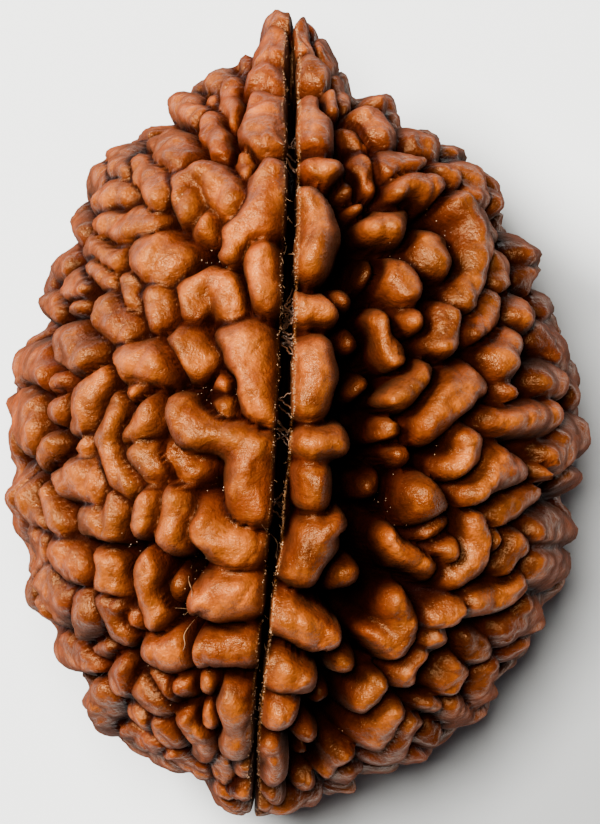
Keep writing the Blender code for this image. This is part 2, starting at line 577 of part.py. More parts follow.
def all_ridges():
    """Every ridge of the stone: those of the front, the back's lips, and those grown in the rest."""
    rng = np.random.default_rng(GROWN_SEED)
    ridges = placed_ridges() + back_lips(rng)
    taken = np.array([point for _, _, _, lobes in ridges for lobe in lobes for point, _ in lobe])
    return ridges + grown_ridges(taken, rng)


def lobe_distance(points, run, stretch):
    """How far each point is outside this lobe's edge, and the half width at the nearest spot of its crest.

    The first is the distance to the crest line less the half width. Depth counts for less by the stretch,
    which draws a lobe out along a steep flank.
    """
    ends = run if len(run) > 1 else run * 2
    scale = np.array([1, 1, stretch])
    best = np.full(len(points), np.inf)
    width = np.ones(len(points))
    for (a, wide_a), (b, wide_b) in zip(ends[:-1], ends[1:]):
        along = (b - a) * scale
        away = (points - a) * scale
        t = np.clip(away @ along / max(along @ along, 1e-9), 0, 1)
        wide = wide_a + t * (wide_b - wide_a)
        outside = np.linalg.norm(away - t[:, None] * along, axis=1) - wide
        width = np.where(outside < best, wide, width)
        best = np.minimum(best, outside)
    return best, width


def distance_to_line(x, y, line):
    """Distance in the front view from each x, y to a line of points."""
    best = np.full(len(x), np.inf)
    for (ax, ay), (bx, by) in zip(line[:-1], line[1:]):
        dx, dy = bx - ax, by - ay
        t = np.clip(((x - ax) * dx + (y - ay) * dy) / (dx * dx + dy * dy), 0, 1)
        best = np.minimum(best, np.hypot(x - ax - t * dx, y - ay - t * dy))
    return best


def rise(points):
    """How far the real surface stands above (+) or below (-) the skin at each of its points."""
    backward = np.clip(0.5 - points[:, 2] / FRONT_FADE, 0, 1)
    moved = points.copy()
    for wave, (size, front, back) in enumerate(WAVES):
        seed = WAVE_SEED + 10 * wave
        shift = np.stack([lattice_noise(points, size, seed + axis) for axis in range(3)], axis=1)
        moved += (front + (back - front) * backward)[:, None] * shift
    cleft = smooth_rows(CLEFT, points[:, 1])
    sides = np.where(points[:, 0] > cleft[:, 0], 1, -1)
    first = np.full(len(points), FAR_OFF)
    other_lobe = first.copy()
    other_ridge = first.copy()
    level = np.zeros(len(points))
    width = np.ones(len(points))
    for ridge_level, side, stretch, lobes in all_ridges():
        nearest = np.full(len(points), FAR_OFF)
        second = nearest.copy()
        ridge_width = np.ones(len(points))
        for lobe in lobes:
            outside, wide = lobe_distance(moved, lobe, stretch)
            outside = np.where(sides == side, outside, FAR_OFF)
            closer = outside < nearest
            second = np.where(closer, nearest, np.minimum(second, outside))
            ridge_width = np.where(closer, wide, ridge_width)
            nearest = np.minimum(nearest, outside)
        wins = nearest < first
        other_ridge = np.where(wins, first, np.minimum(other_ridge, nearest))
        other_lobe = np.where(wins, second, other_lobe)
        level = np.where(wins, ridge_level, level)
        width = np.where(wins, ridge_width, width)
        first = np.minimum(first, nearest)
    skirt = np.where(sides < 0, *LOBE_SKIRTS)
    across = np.clip((first + width) / (width + skirt), 0, 1)
    dome = (1 - across**DOME_POWER) ** (1 / DOME_POWER)
    apart = np.clip((other_ridge - first) / 2 / (CREVICE_WIDTH + CREVICE_WIDENS * width), 0, 1)
    least, most = CREVICE_SHARES
    patch = 0.5 + CREVICE_CONTRAST * lattice_noise(points, CREVICE_PATCH, PATCH_SEED)
    deep = least + (most - least) * np.clip(patch, 0, 1)
    dome *= 1 - deep * (1 - np.sqrt(1 - (1 - apart) ** 2))
    trough = distance_to_line(points[:, 0], points[:, 1], TROUGH) / TROUGH_WIDTH
    deeper = TROUGH_DEPTH * np.exp(-trough**2)
    for x, y, radius, depth in PITS:
        away = np.hypot(points[:, 0] - x, points[:, 1] - y)
        deeper += depth * np.exp(-((away / radius) ** 2))
    facing = np.abs(points[:, 2]) / FRONT_DEPTH
    floor = FLANK_RISE + (LOBE_RISE - FLANK_RISE) * np.clip(facing, 0, 1)
    floor += np.where(points[:, 2] > 0, deeper, 0)
    level *= np.clip(np.abs(points[:, 2]) / LEVEL_FADE, 0, 1)
    level -= SMALL_LOBE_SINKS * np.clip(SMALL_LOBE - width, 0, 1)
    crease = np.clip((other_lobe - first) / 2 / CREASE_WIDTH, 0, 1)
    knobs = sum(tall * lattice_noise(points, size, KNOB_SEED + i) for i, (size, tall) in enumerate(KNOBS))
    knuckle = np.clip(cell_edges(moved, KNUCKLE_SIZE, KNUCKLE_SEED) / KNUCKLE_WIDTH, 0, 1)
    knobs -= KNUCKLE_DEPTH * (1 - knuckle) ** 2
    height = -floor + (floor + level + knobs - CREASE_DEPTH * (1 - crease) ** 2) * dome
    for x, y, radius, tall in OUTLINE_SHAPES:
        away = np.hypot(points[:, 0] - x, points[:, 1] - y)
        height += tall * np.exp(-((away / radius) ** 2))
    mouth = np.abs(points[:, 0] - cleft[:, 0]) - cleft[:, 1] / 2
    for i, (size, wide) in enumerate(CLEFT_RAGGED):
        mouth += wide * lattice_noise(points, size, CLEFT_SEED + i)
    wall = np.clip(mouth / CLEFT_WALL, 0, 1)
    wall = np.sqrt(1 - (1 - wall) ** 2)
    depth = np.minimum(CLEFT_DEPTH, CLEFT_END_SHARE * np.abs(points[:, 2]) + CLEFT_END_DEPTH)
    return wall * height - (1 - wall) * depth


def grid_lines():
    """Latitudes evenly along the stone, and longitudes that crowd together at the two clefts."""
    fine = np.linspace(-math.pi / 2, math.pi / 2, 4001)
    sizes = skin(fine, np.full_like(fine, math.pi / 2))
    lengths = np.concatenate([[0], np.cumsum(np.linalg.norm(np.diff(sizes, axis=0), axis=1))])
    latitudes = np.interp(np.linspace(0, lengths[-1], LATITUDES + 2), lengths, fine)[1:-1]
    turn = np.linspace(0, math.pi, 4001)
    crowd = 1 + CLEFT_LINES * np.exp(-((np.minimum(turn, math.pi - turn) / CLEFT_LINES_ANGLE) ** 2))
    steps = np.concatenate([[0], np.cumsum((crowd[1:] + crowd[:-1]) / 2)])
    half = np.interp(np.linspace(0, steps[-1], LONGITUDES // 2 + 1), steps, turn)
    return latitudes, np.concatenate([half, math.pi + half[1:-1]])


def stone_points(latitudes, longitudes):
    """The surface's points: the two poles, then row by row from the base to the tip."""
    grid = np.stack(np.meshgrid(latitudes, longitudes, indexing="ij"), axis=-1).reshape(-1, 2)
    grid = np.concatenate([[[-math.pi / 2, 0], [math.pi / 2, 0]], grid])
    points = skin(grid[:, 0], grid[:, 1])
    return points + rise(points)[:, None] * outward_from_core(points)


def stone_mesh():
    latitudes, longitudes = grid_lines()
    points = (stone_points(latitudes, longitudes) + [-MIDDLE_X, -MIDDLE_Y, AXIS_HEIGHT]) * MM
    rows, columns = len(latitudes), len(longitudes)
    index = 2 + np.arange(rows * columns).reshape(rows, columns)
    beside = np.roll(index, -1, axis=1)
    quads = np.stack([index[:-1], beside[:-1], beside[1:], index[1:]], axis=-1).reshape(-1, 4)
    faces = quads.tolist()
    faces += [(0, b, a) for a, b in zip(index[0].tolist(), beside[0].tolist())]
    faces += [(1, a, b) for a, b in zip(index[-1].tolist(), beside[-1].tolist())]
    mesh = bpy.data.meshes.new("stone")
    mesh.from_pydata(points.tolist(), [], faces)
    return mesh


def shell_material():
    """Satin red-brown of a dried, oiled fruit stone."""
    material = bpy.data.materials.new("stone_brown")
    material.use_nodes = True
    shader = material.node_tree.nodes["Principled BSDF"]
    shader.inputs["Base Color"].default_value = (0.26, 0.085, 0.028, 1)
    shader.inputs["Roughness"].default_value = 0.38
    shader.inputs["Metallic"].default_value = 0.0
    return material


def ground_cutter():
    """A block whose top is the surface that the stone lies on. It cuts the lowest lobes flat."""
    mesh = bpy.data.meshes.new("ground")
    solid = bmesh.new()
    bmesh.ops.create_cube(solid, size=1.0)
    bmesh.ops.scale(solid, vec=(GROUND_SIZE * MM, GROUND_SIZE * MM, GROUND_DEPTH * MM), verts=solid.verts)
    bmesh.ops.translate(solid, vec=(0, 0, -GROUND_DEPTH * MM / 2), verts=solid.verts)
    solid.to_mesh(mesh)
    solid.free()
    ground = bpy.data.objects.new("ground", mesh)
    ground.hide_render = True
    ground.display_type = "WIRE"
    bpy.context.scene.collection.objects.link(ground)
    return ground


def build_stone():
    mesh = stone_mesh()
    mesh.materials.append(shell_material())
    mesh.shade_smooth()
    stone = bpy.data.objects.new("stone", mesh)
    bpy.context.scene.collection.objects.link(stone)
    fewer = stone.modifiers.new("fewer faces", "DECIMATE")
    fewer.ratio = TRIANGLES / (2 * len(mesh.polygons))
    rest = stone.modifiers.new("flat spot", "BOOLEAN")
    rest.operation = "DIFFERENCE"
    rest.object = ground_cutter()


for old in list(bpy.data.objects):
    bpy.data.objects.remove(old)
build_stone()
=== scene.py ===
# Two mukhi rudraksha: the dried stone of one fruit, with its fine surface, fibres and light.
# Lengths are in millimetres, in the stone's own measure: y runs from its base to its pointed
# tip, x across it as the photograph shows it, and z up from its long axis to the front cleft.
import math
import bpy
import mathutils
import numpy as np
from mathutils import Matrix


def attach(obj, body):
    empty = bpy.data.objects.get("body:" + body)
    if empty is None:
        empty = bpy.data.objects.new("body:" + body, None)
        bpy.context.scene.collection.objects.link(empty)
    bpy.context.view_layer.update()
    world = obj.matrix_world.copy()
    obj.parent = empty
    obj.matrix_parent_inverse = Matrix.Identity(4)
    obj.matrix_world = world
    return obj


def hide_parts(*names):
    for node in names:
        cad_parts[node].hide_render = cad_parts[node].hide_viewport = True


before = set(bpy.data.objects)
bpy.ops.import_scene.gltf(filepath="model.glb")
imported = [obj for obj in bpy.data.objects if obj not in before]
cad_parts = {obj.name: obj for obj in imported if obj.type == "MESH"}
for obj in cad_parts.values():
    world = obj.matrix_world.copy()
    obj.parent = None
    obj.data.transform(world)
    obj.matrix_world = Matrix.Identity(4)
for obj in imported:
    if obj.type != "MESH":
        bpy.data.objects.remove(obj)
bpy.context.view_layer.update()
mm = 0.001

stoneForm = {
    "tipY": 14.3,
    "baseY": -14.05,
    "frontShare": 0.90,      # depth in front of the axis, as a share of the half width
    "backShare": 0.84,
    "sectionPower": 2.15,
    "coreShare": 0.7,        # of the stone's length is the core line that the relief is raised from
    "coreDrop": 3.0,         # how far the core line sags to the back in its middle
    "axisHeight": 8.1,       # of the long axis above the floor, which flattens the lowest lobes
    "middleX": 0.063,        # of the whole stone, which the frame puts at its origin
    "middleY": 0.000,
    "tipNarrowing": 0.05,    # least share of the width that is reckoned with near the tips
    "edgeShare": 0.985,      # of the half width, past which a point counts as on the outline
    # y, left edge, right edge of the skin that touches the lobes' crests
    "outline": [
        (-13.2, -3.0, 1.7), (-12.0, -5.1, 4.4), (-10.5, -7.1, 6.4), (-8.5, -8.3, 8.0),
        (-6.0, -9.5, 9.4), (-3.0, -9.95, 9.85), (0.5, -9.9, 10.0), (4.0, -8.9, 8.9),
        (6.5, -7.95, 7.7), (8.5, -7.0, 6.5), (10.0, -5.1, 4.4), (11.2, -3.8, 2.4),
        (12.4, -2.0, 1.4), (13.4, -1.15, 0.75),
    ],
    # y, middle of the cleft, full width of its mouth
    "cleft": [
        (-14.0, -1.45, 0.04), (-11.0, -1.4, 0.06), (-8.0, -1.1, 0.10), (-4.0, -0.7, 0.20),
        (0.0, -0.4, 0.30), (4.0, -0.25, 0.26), (8.0, -0.15, 0.24), (12.5, -0.15, 0.2),
        (14.0, -0.17, 0.08),
    ],
}

reliefForm = {
    "frontDepth": 8.7,       # mm from the long axis to where the lobes rise in full
    "lobeRise": 1.75,        # mm from a crevice's floor to a crest there
    "flankRise": 0.95,       # and on the flanks
    "pits": [
        # x, y, radius, depth of the pits between the front's lobes
        (-3.2, 5.2, 0.7, 0.7), (-3.7, 7.6, 0.5, 0.6), (-5.7, 7.4, 0.6, 0.4), (-4.2, -5.3, 0.9, 0.9),
        (-6.1, -4.6, 0.6, 0.7), (-4.4, -7.0, 0.6, 0.9), (-5.9, -5.8, 0.5, 0.6),
        (-3.2, -7.4, 0.6, 0.6), (-4.0, -10.1, 0.6, 0.6), (-5.4, -1.9, 0.5, 0.4),
        (1.3, -10.9, 0.8, 0.9), (5.0, -1.4, 0.7, 0.8), (5.0, 6.8, 0.6, 0.7), (3.7, 5.9, 0.6, 0.7),
        (4.8, -2.2, 0.7, 0.7), (7.1, -0.9, 0.6, 0.5), (7.8, 0.4, 0.5, 0.5),
    ],
    "lobeSkirts": (0.48, 0.34),      # mm that a lobe slopes on past its half width, left and right
    "edgeWidens": 0.35,      # lobes are wider by this share for each radian past edgeStart
    "edgeStart": 0.75,
    "edgeAngle": 1.22,       # past this angle from the cleft a lobe runs on to edgeReach
    "edgeReach": 1.46,
    "flankStretch": 0.65,    # what a step in depth counts for in the distance to a front lobe
    "domePower": 2.0,
    "smallLobe": 0.5,        # lobes with a smaller half width than this stand lower
    "smallLobeSinks": 0.6,
    "levelFade": 3.0,        # mm from the outline over which the lobes' own levels fade out
    "creviceWidth": 0.12,
    "creviceWidens": 0.4,
    "creviceShares": (0.15, 1.0),    # least and full depth of a crevice, as patches of noise pick them
    "creviceContrast": 1.5,
    "crevicePatch": 1.9,
    "creaseDepth": 0.42,
    "creaseWidth": 0.34,
    "cleftDepth": 2.6,
    "cleftWall": 0.13,
    "cleftEndDepth": 0.65,   # at the two ends of the cleft
    "cleftEndShare": 0.45,
    "cleftRagged": [(0.9, 0.05), (0.35, 0.04)],      # size and height of the waves of its edge
    "frontFade": 6.0,        # mm of depth over which the front's waves turn into the back's
    "troughDepth": 2.4,
    "troughWidth": 1.3,
    "trough": [(2.2, 6.0), (2.7, 3.0), (2.8, -1.5), (2.7, -5.0), (2.1, -9.0), (1.0, -11.5)],
    "outlineShapes": [
        # bumps (+) and notches (-) of the outline as seen from the front: x, y, radius, height
        (-0.3, 14.3, 0.4, -0.5), (-1.05, 13.3, 0.4, 0.2), (0.25, 13.9, 0.35, 0.35),
        (1.2, 13.1, 0.4, 0.15), (2.2, 11.15, 0.45, -0.5), (3.0, 10.8, 0.6, 0.45),
        (4.15, 10.3, 0.4, -0.5), (5.0, 10.0, 0.5, 0.2), (7.5, 6.6, 0.5, -0.6),
        (8.5, 5.6, 0.6, 0.35), (8.7, 4.5, 0.45, -0.45), (9.3, 3.0, 0.4, -0.25),
        (10.1, -0.9, 0.6, 0.05), (9.8, -3.0, 0.5, -0.7), (9.0, -6.7, 0.5, -0.45),
        (7.5, -9.4, 0.5, -0.5), (6.6, -10.7, 0.6, 0.25), (4.6, -12.2, 0.5, 0.15),
        (2.9, -12.9, 0.5, -0.45), (-4.3, 11.1, 0.5, 0.2), (-4.8, 10.3, 0.45, -0.5),
        (-6.4, 9.3, 0.5, 0.2), (-8.2, 5.9, 0.35, -0.3), (-9.1, 3.0, 0.45, -0.5),
        (-9.6, -2.0, 0.4, -0.45), (-9.95, -2.9, 0.5, 0.2), (-9.5, -4.9, 0.6, -0.5),
        (-8.8, -7.6, 0.4, -0.25), (-7.8, -9.5, 0.5, -0.5), (-6.8, -11.1, 0.6, 0.25),
    ],
    "waves": [
        # size of the wave, how far it shifts the lobes' outlines on the front, and on the back
        (1.7, 0.22, 0.40),
        (0.75, 0.14, 0.18),
    ],
    "knobs": [
        # size of the unevenness on the lobes, and its height
        (1.3, 0.19),
        (0.6, 0.10),
    ],
    "knuckleSize": 1.05,
    "knuckleDepth": 0.16,
    "knuckleWidth": 0.36,
    "knuckleCrease": 0.6,    # how much the furrows between knuckles count as creases in the finish, whose painted shade darkens them
    "lipLevel": 0.3,         # the front's lips stand higher by this
    "seeds": {"patches": 40, "knobs": 50, "knuckles": 60, "mouth": 70},
}

# Front lobes. A ridge is how far its crest stands above (+) or below (-) the skin, then its
# lobes, which only shallow creases part. A lobe is the line along its crest: x, y, half width.
lipRidges = [
    (0.35, [(-0.62, 13.55, 0.46), (-0.85, 12.85, 0.66)], [(-1.05, 11.75, 0.75)],
     [(-1.15, 10.7, 0.85), (-1.2, 9.7, 0.82)]),
    (0.35, [(-1.05, 8.3, 0.6), (-1.15, 7.5, 0.72), (-1.3, 6.8, 0.7), (-2.1, 6.2, 0.45), (-2.35, 5.5, 0.4)],
     [(-1.3, 5.4, 0.68), (-1.3, 4.8, 0.7), (-1.25, 4.2, 0.62)]),
    (0.35, [(-1.75, 2.4, 0.85), (-1.65, 1.5, 0.85), (-1.4, 0.6, 0.75), (-1.15, 0.0, 0.5)]),
    (0.35, [(-3.95, 0.1, 0.4), (-3.4, -0.6, 0.5), (-2.4, -0.95, 0.55), (-1.5, -1.3, 0.62),
            (-1.6, -2.0, 0.72), (-1.65, -2.8, 0.72), (-1.5, -3.4, 0.55)]),
    (0.2, [(-5.2, -3.2, 0.45), (-5.4, -3.7, 0.52)], [(-4.2, -3.1, 0.5), (-4.3, -4.2, 0.66)],
     [(-3.1, -3.9, 0.68), (-2.5, -4.4, 0.8), (-1.9, -4.75, 0.66)]),
    (0.3, [(-3.2, -6.55, 0.42), (-2.55, -6.55, 0.84), (-1.8, -6.4, 0.72)]),
    (0.25, [(-3.25, -8.35, 0.32), (-2.6, -8.25, 0.62), (-1.9, -8.35, 0.66)]),
    (0.2, [(-2.35, -9.8, 0.55), (-2.25, -10.6, 0.55), (-2.15, -11.4, 0.48)], [(-1.95, -12.4, 0.34)]),
    (0.1, [(-2.0, -13.3, 0.42)]),
    (0.2, [(0.05, 13.8, 0.34), (0.4, 13.2, 0.4)]),
    (0.3, [(0.6, 12.5, 0.42), (0.7, 11.9, 0.45)], [(1.15, 11.2, 0.33), (1.3, 10.6, 0.25)]),
    (0.35, [(0.65, 10.9, 0.45), (0.72, 10.1, 0.5), (0.7, 9.4, 0.48)]),
    (0.0, [(0.7, 8.5, 0.45), (1.25, 8.35, 0.42)]),
    (0.4, [(0.5, 7.5, 0.42), (0.85, 6.8, 0.62), (1.0, 6.1, 0.75), (0.7, 5.2, 0.6)]),
    (0.4, [(0.65, 3.7, 0.62), (1.15, 3.6, 0.58)]),
    (0.45, [(0.7, 2.0, 0.72), (0.9, 1.3, 0.82), (0.65, 0.5, 0.7)]),
    (0.4, [(0.65, -1.1, 0.62), (1.6, -0.9, 0.5)], [(0.6, -2.1, 0.6), (0.6, -2.8, 0.55)]),
    (0.45, [(1.4, -3.9, 0.5), (0.8, -4.35, 0.88), (0.4, -5.2, 0.82)]),
    (0.4, [(-0.1, -7.25, 0.92), (0.6, -7.4, 0.72), (1.35, -7.6, 0.36)]),
    (0.4, [(-0.3, -9.2, 0.78), (0.1, -9.3, 0.6)], [(-0.45, -10.4, 0.6)]),
    (0.25, [(-0.75, -11.6, 0.5), (-0.85, -12.6, 0.42)], [(-0.75, -13.5, 0.38)]),
]
leftRidges = [
    (0.0, [(-2.15, 11.5, 0.4), (-2.2, 10.8, 0.38), (-2.15, 10.1, 0.33)]),
    (-0.2, [(-1.85, 8.9, 0.33), (-1.8, 8.3, 0.3)]),
    (0.0, [(-2.0, 12.2, 0.33)]),
    (0.05, [(-2.75, 11.7, 0.5), (-2.5, 11.9, 0.4)]),
    (0.0, [(-2.95, 11.0, 0.38)]),
    (0.0, [(-3.9, 10.85, 0.5), (-3.6, 10.4, 0.42)]),
    (0.05, [(-2.8, 10.0, 0.5), (-2.6, 9.2, 0.48)]),
    (0.15, [(-4.8, 9.5, 0.7), (-4.1, 9.0, 0.7)]),
    (0.0, [(-6.2, 9.0, 0.4), (-6.05, 8.4, 0.38)]),
    (0.05, [(-5.6, 8.8, 0.42), (-5.45, 8.2, 0.45), (-4.85, 7.7, 0.5)]),
    (-0.05, [(-6.9, 8.3, 0.45)]),
    (0.0, [(-6.8, 7.6, 0.5), (-6.2, 7.35, 0.45)]),
    (0.15, [(-3.75, 6.9, 0.36), (-4.1, 7.5, 0.36), (-4.35, 8.0, 0.33), (-3.8, 8.4, 0.38), (-3.1, 8.3, 0.5),
            (-2.6, 7.8, 0.66), (-2.35, 7.2, 0.6)], [(-3.2, 6.5, 0.5)]),
    (0.0, [(-6.8, 6.5, 0.42), (-5.9, 6.6, 0.48), (-5.2, 6.6, 0.42)]),
    (-0.05, [(-7.9, 6.4, 0.35)]),
    (0.0, [(-7.3, 5.6, 0.4), (-6.3, 5.4, 0.45)]),
    (-0.1, [(-7.3, 5.05, 0.25), (-6.7, 4.65, 0.3), (-6.3, 4.4, 0.28)]),
    (0.15, [(-5.1, 5.4, 0.75), (-4.35, 5.1, 0.7)]),
    (0.0, [(-5.9, 4.45, 0.4), (-5.6, 3.85, 0.36)]),
    (0.1, [(-5.0, 3.9, 0.5), (-4.6, 3.3, 0.5)]),
    (0.1, [(-6.7, 3.6, 0.5), (-6.05, 2.9, 0.52)]),
    (-0.05, [(-8.4, 5.3, 0.35)]),
    (0.0, [(-8.05, 4.6, 0.35), (-7.6, 4.3, 0.3)]),
    (0.0, [(-8.6, 3.8, 0.4)]),
    (-0.05, [(-7.7, 3.8, 0.33)]),
    (0.15, [(-3.75, 3.4, 0.35), (-3.65, 4.1, 0.42), (-3.1, 4.5, 0.48), (-2.6, 4.1, 0.55), (-2.2, 3.5, 0.5)]),
    (0.1, [(-3.95, 2.6, 0.58), (-3.45, 1.7, 0.58)]),
    (0.2, [(-5.8, 1.7, 0.8), (-4.8, 1.6, 0.82)], [(-5.5, 0.75, 0.4)]),
    (0.15, [(-8.0, 2.3, 0.75), (-7.5, 1.9, 0.7)]),
    (0.1, [(-9.3, 1.7, 0.5), (-9.1, 1.2, 0.5)]),
    (0.1, [(-6.9, 1.1, 0.42), (-7.4, 0.4, 0.5), (-7.8, -0.4, 0.38)]),
    (-0.05, [(-8.5, 1.0, 0.33)]),
    (-0.05, [(-8.4, 0.1, 0.36)]),
    (0.1, [(-9.5, 0.3, 0.5), (-9.4, -0.7, 0.5)]),
    (0.0, [(-8.8, -1.2, 0.42)]),
    (-0.05, [(-2.4, 0.9, 0.36)]),
    (-0.05, [(-2.45, 0.2, 0.36)]),
    (0.05, [(-5.0, 0.0, 0.5), (-5.4, -0.5, 0.45)]),
    (0.05, [(-5.2, -1.3, 0.45), (-4.8, -1.9, 0.5)]),
    (0.05, [(-6.2, 0.0, 0.4), (-6.6, -0.8, 0.42), (-6.4, -1.7, 0.45), (-5.8, -2.4, 0.42)]),
    (-0.1, [(-7.5, -1.0, 0.33)]),
    (-0.35, [(-4.0, -1.4, 0.4), (-3.6, -2.0, 0.5)]),
    (0.15, [(-8.0, -2.3, 0.62), (-7.2, -2.4, 0.65)]),
    (0.05, [(-9.4, -2.9, 0.5), (-9.2, -3.4, 0.42)]),
    (-0.05, [(-8.7, -2.9, 0.35), (-8.3, -3.8, 0.4)]),
    (0.1, [(-6.3, -3.2, 0.42), (-6.7, -3.9, 0.5), (-7.2, -3.7, 0.38)]),
    (0.05, [(-8.4, -4.7, 0.55), (-7.8, -5.3, 0.55)]),
    (0.1, [(-6.8, -5.0, 0.43), (-6.7, -5.9, 0.46)]),
    (0.1, [(-5.2, -5.1, 0.45), (-5.3, -6.2, 0.43), (-4.9, -7.0, 0.4)]),
    (-0.6, [(-4.1, -6.0, 0.4)]),
    (0.1, [(-9.0, -5.9, 0.5), (-8.4, -6.7, 0.6)]),
    (0.1, [(-7.5, -7.1, 0.6)]),
    (0.1, [(-6.6, -6.8, 0.42), (-6.3, -7.6, 0.42)]),
    (-0.1, [(-5.8, -7.2, 0.28)]),
    (0.15, [(-4.9, -8.3, 0.6), (-4.3, -8.2, 0.6)]),
    (0.0, [(-8.1, -8.3, 0.42), (-7.4, -8.6, 0.42)]),
    (-0.1, [(-6.9, -8.2, 0.32)]),
    (0.0, [(-6.3, -9.0, 0.42), (-6.1, -9.5, 0.38)]),
    (0.0, [(-5.6, -9.6, 0.4), (-4.9, -9.9, 0.42)]),
    (-0.1, [(-5.0, -9.0, 0.24), (-4.4, -9.6, 0.24)]),
    (-0.05, [(-4.0, -9.4, 0.36)]),
    (0.05, [(-7.0, -9.7, 0.47), (-6.7, -10.8, 0.47)]),
    (0.0, [(-5.6, -10.7, 0.42)]),
    (0.0, [(-4.9, -10.9, 0.42), (-4.6, -11.2, 0.38)]),
    (0.0, [(-6.0, -11.2, 0.38), (-5.0, -11.7, 0.38)]),
    (0.05, [(-3.9, -10.7, 0.38), (-3.6, -11.4, 0.38), (-3.2, -12.0, 0.33)]),
    (0.0, [(-3.2, -9.4, 0.35)]),
    (0.0, [(-3.1, -10.5, 0.33)]),
    (0.0, [(-2.7, -12.1, 0.3), (-2.3, -12.8, 0.3)]),
    (0.0, [(-4.3, -12.0, 0.36), (-3.5, -12.6, 0.33)]),
    (0.0, [(-2.5, -13.2, 0.3)]),
]
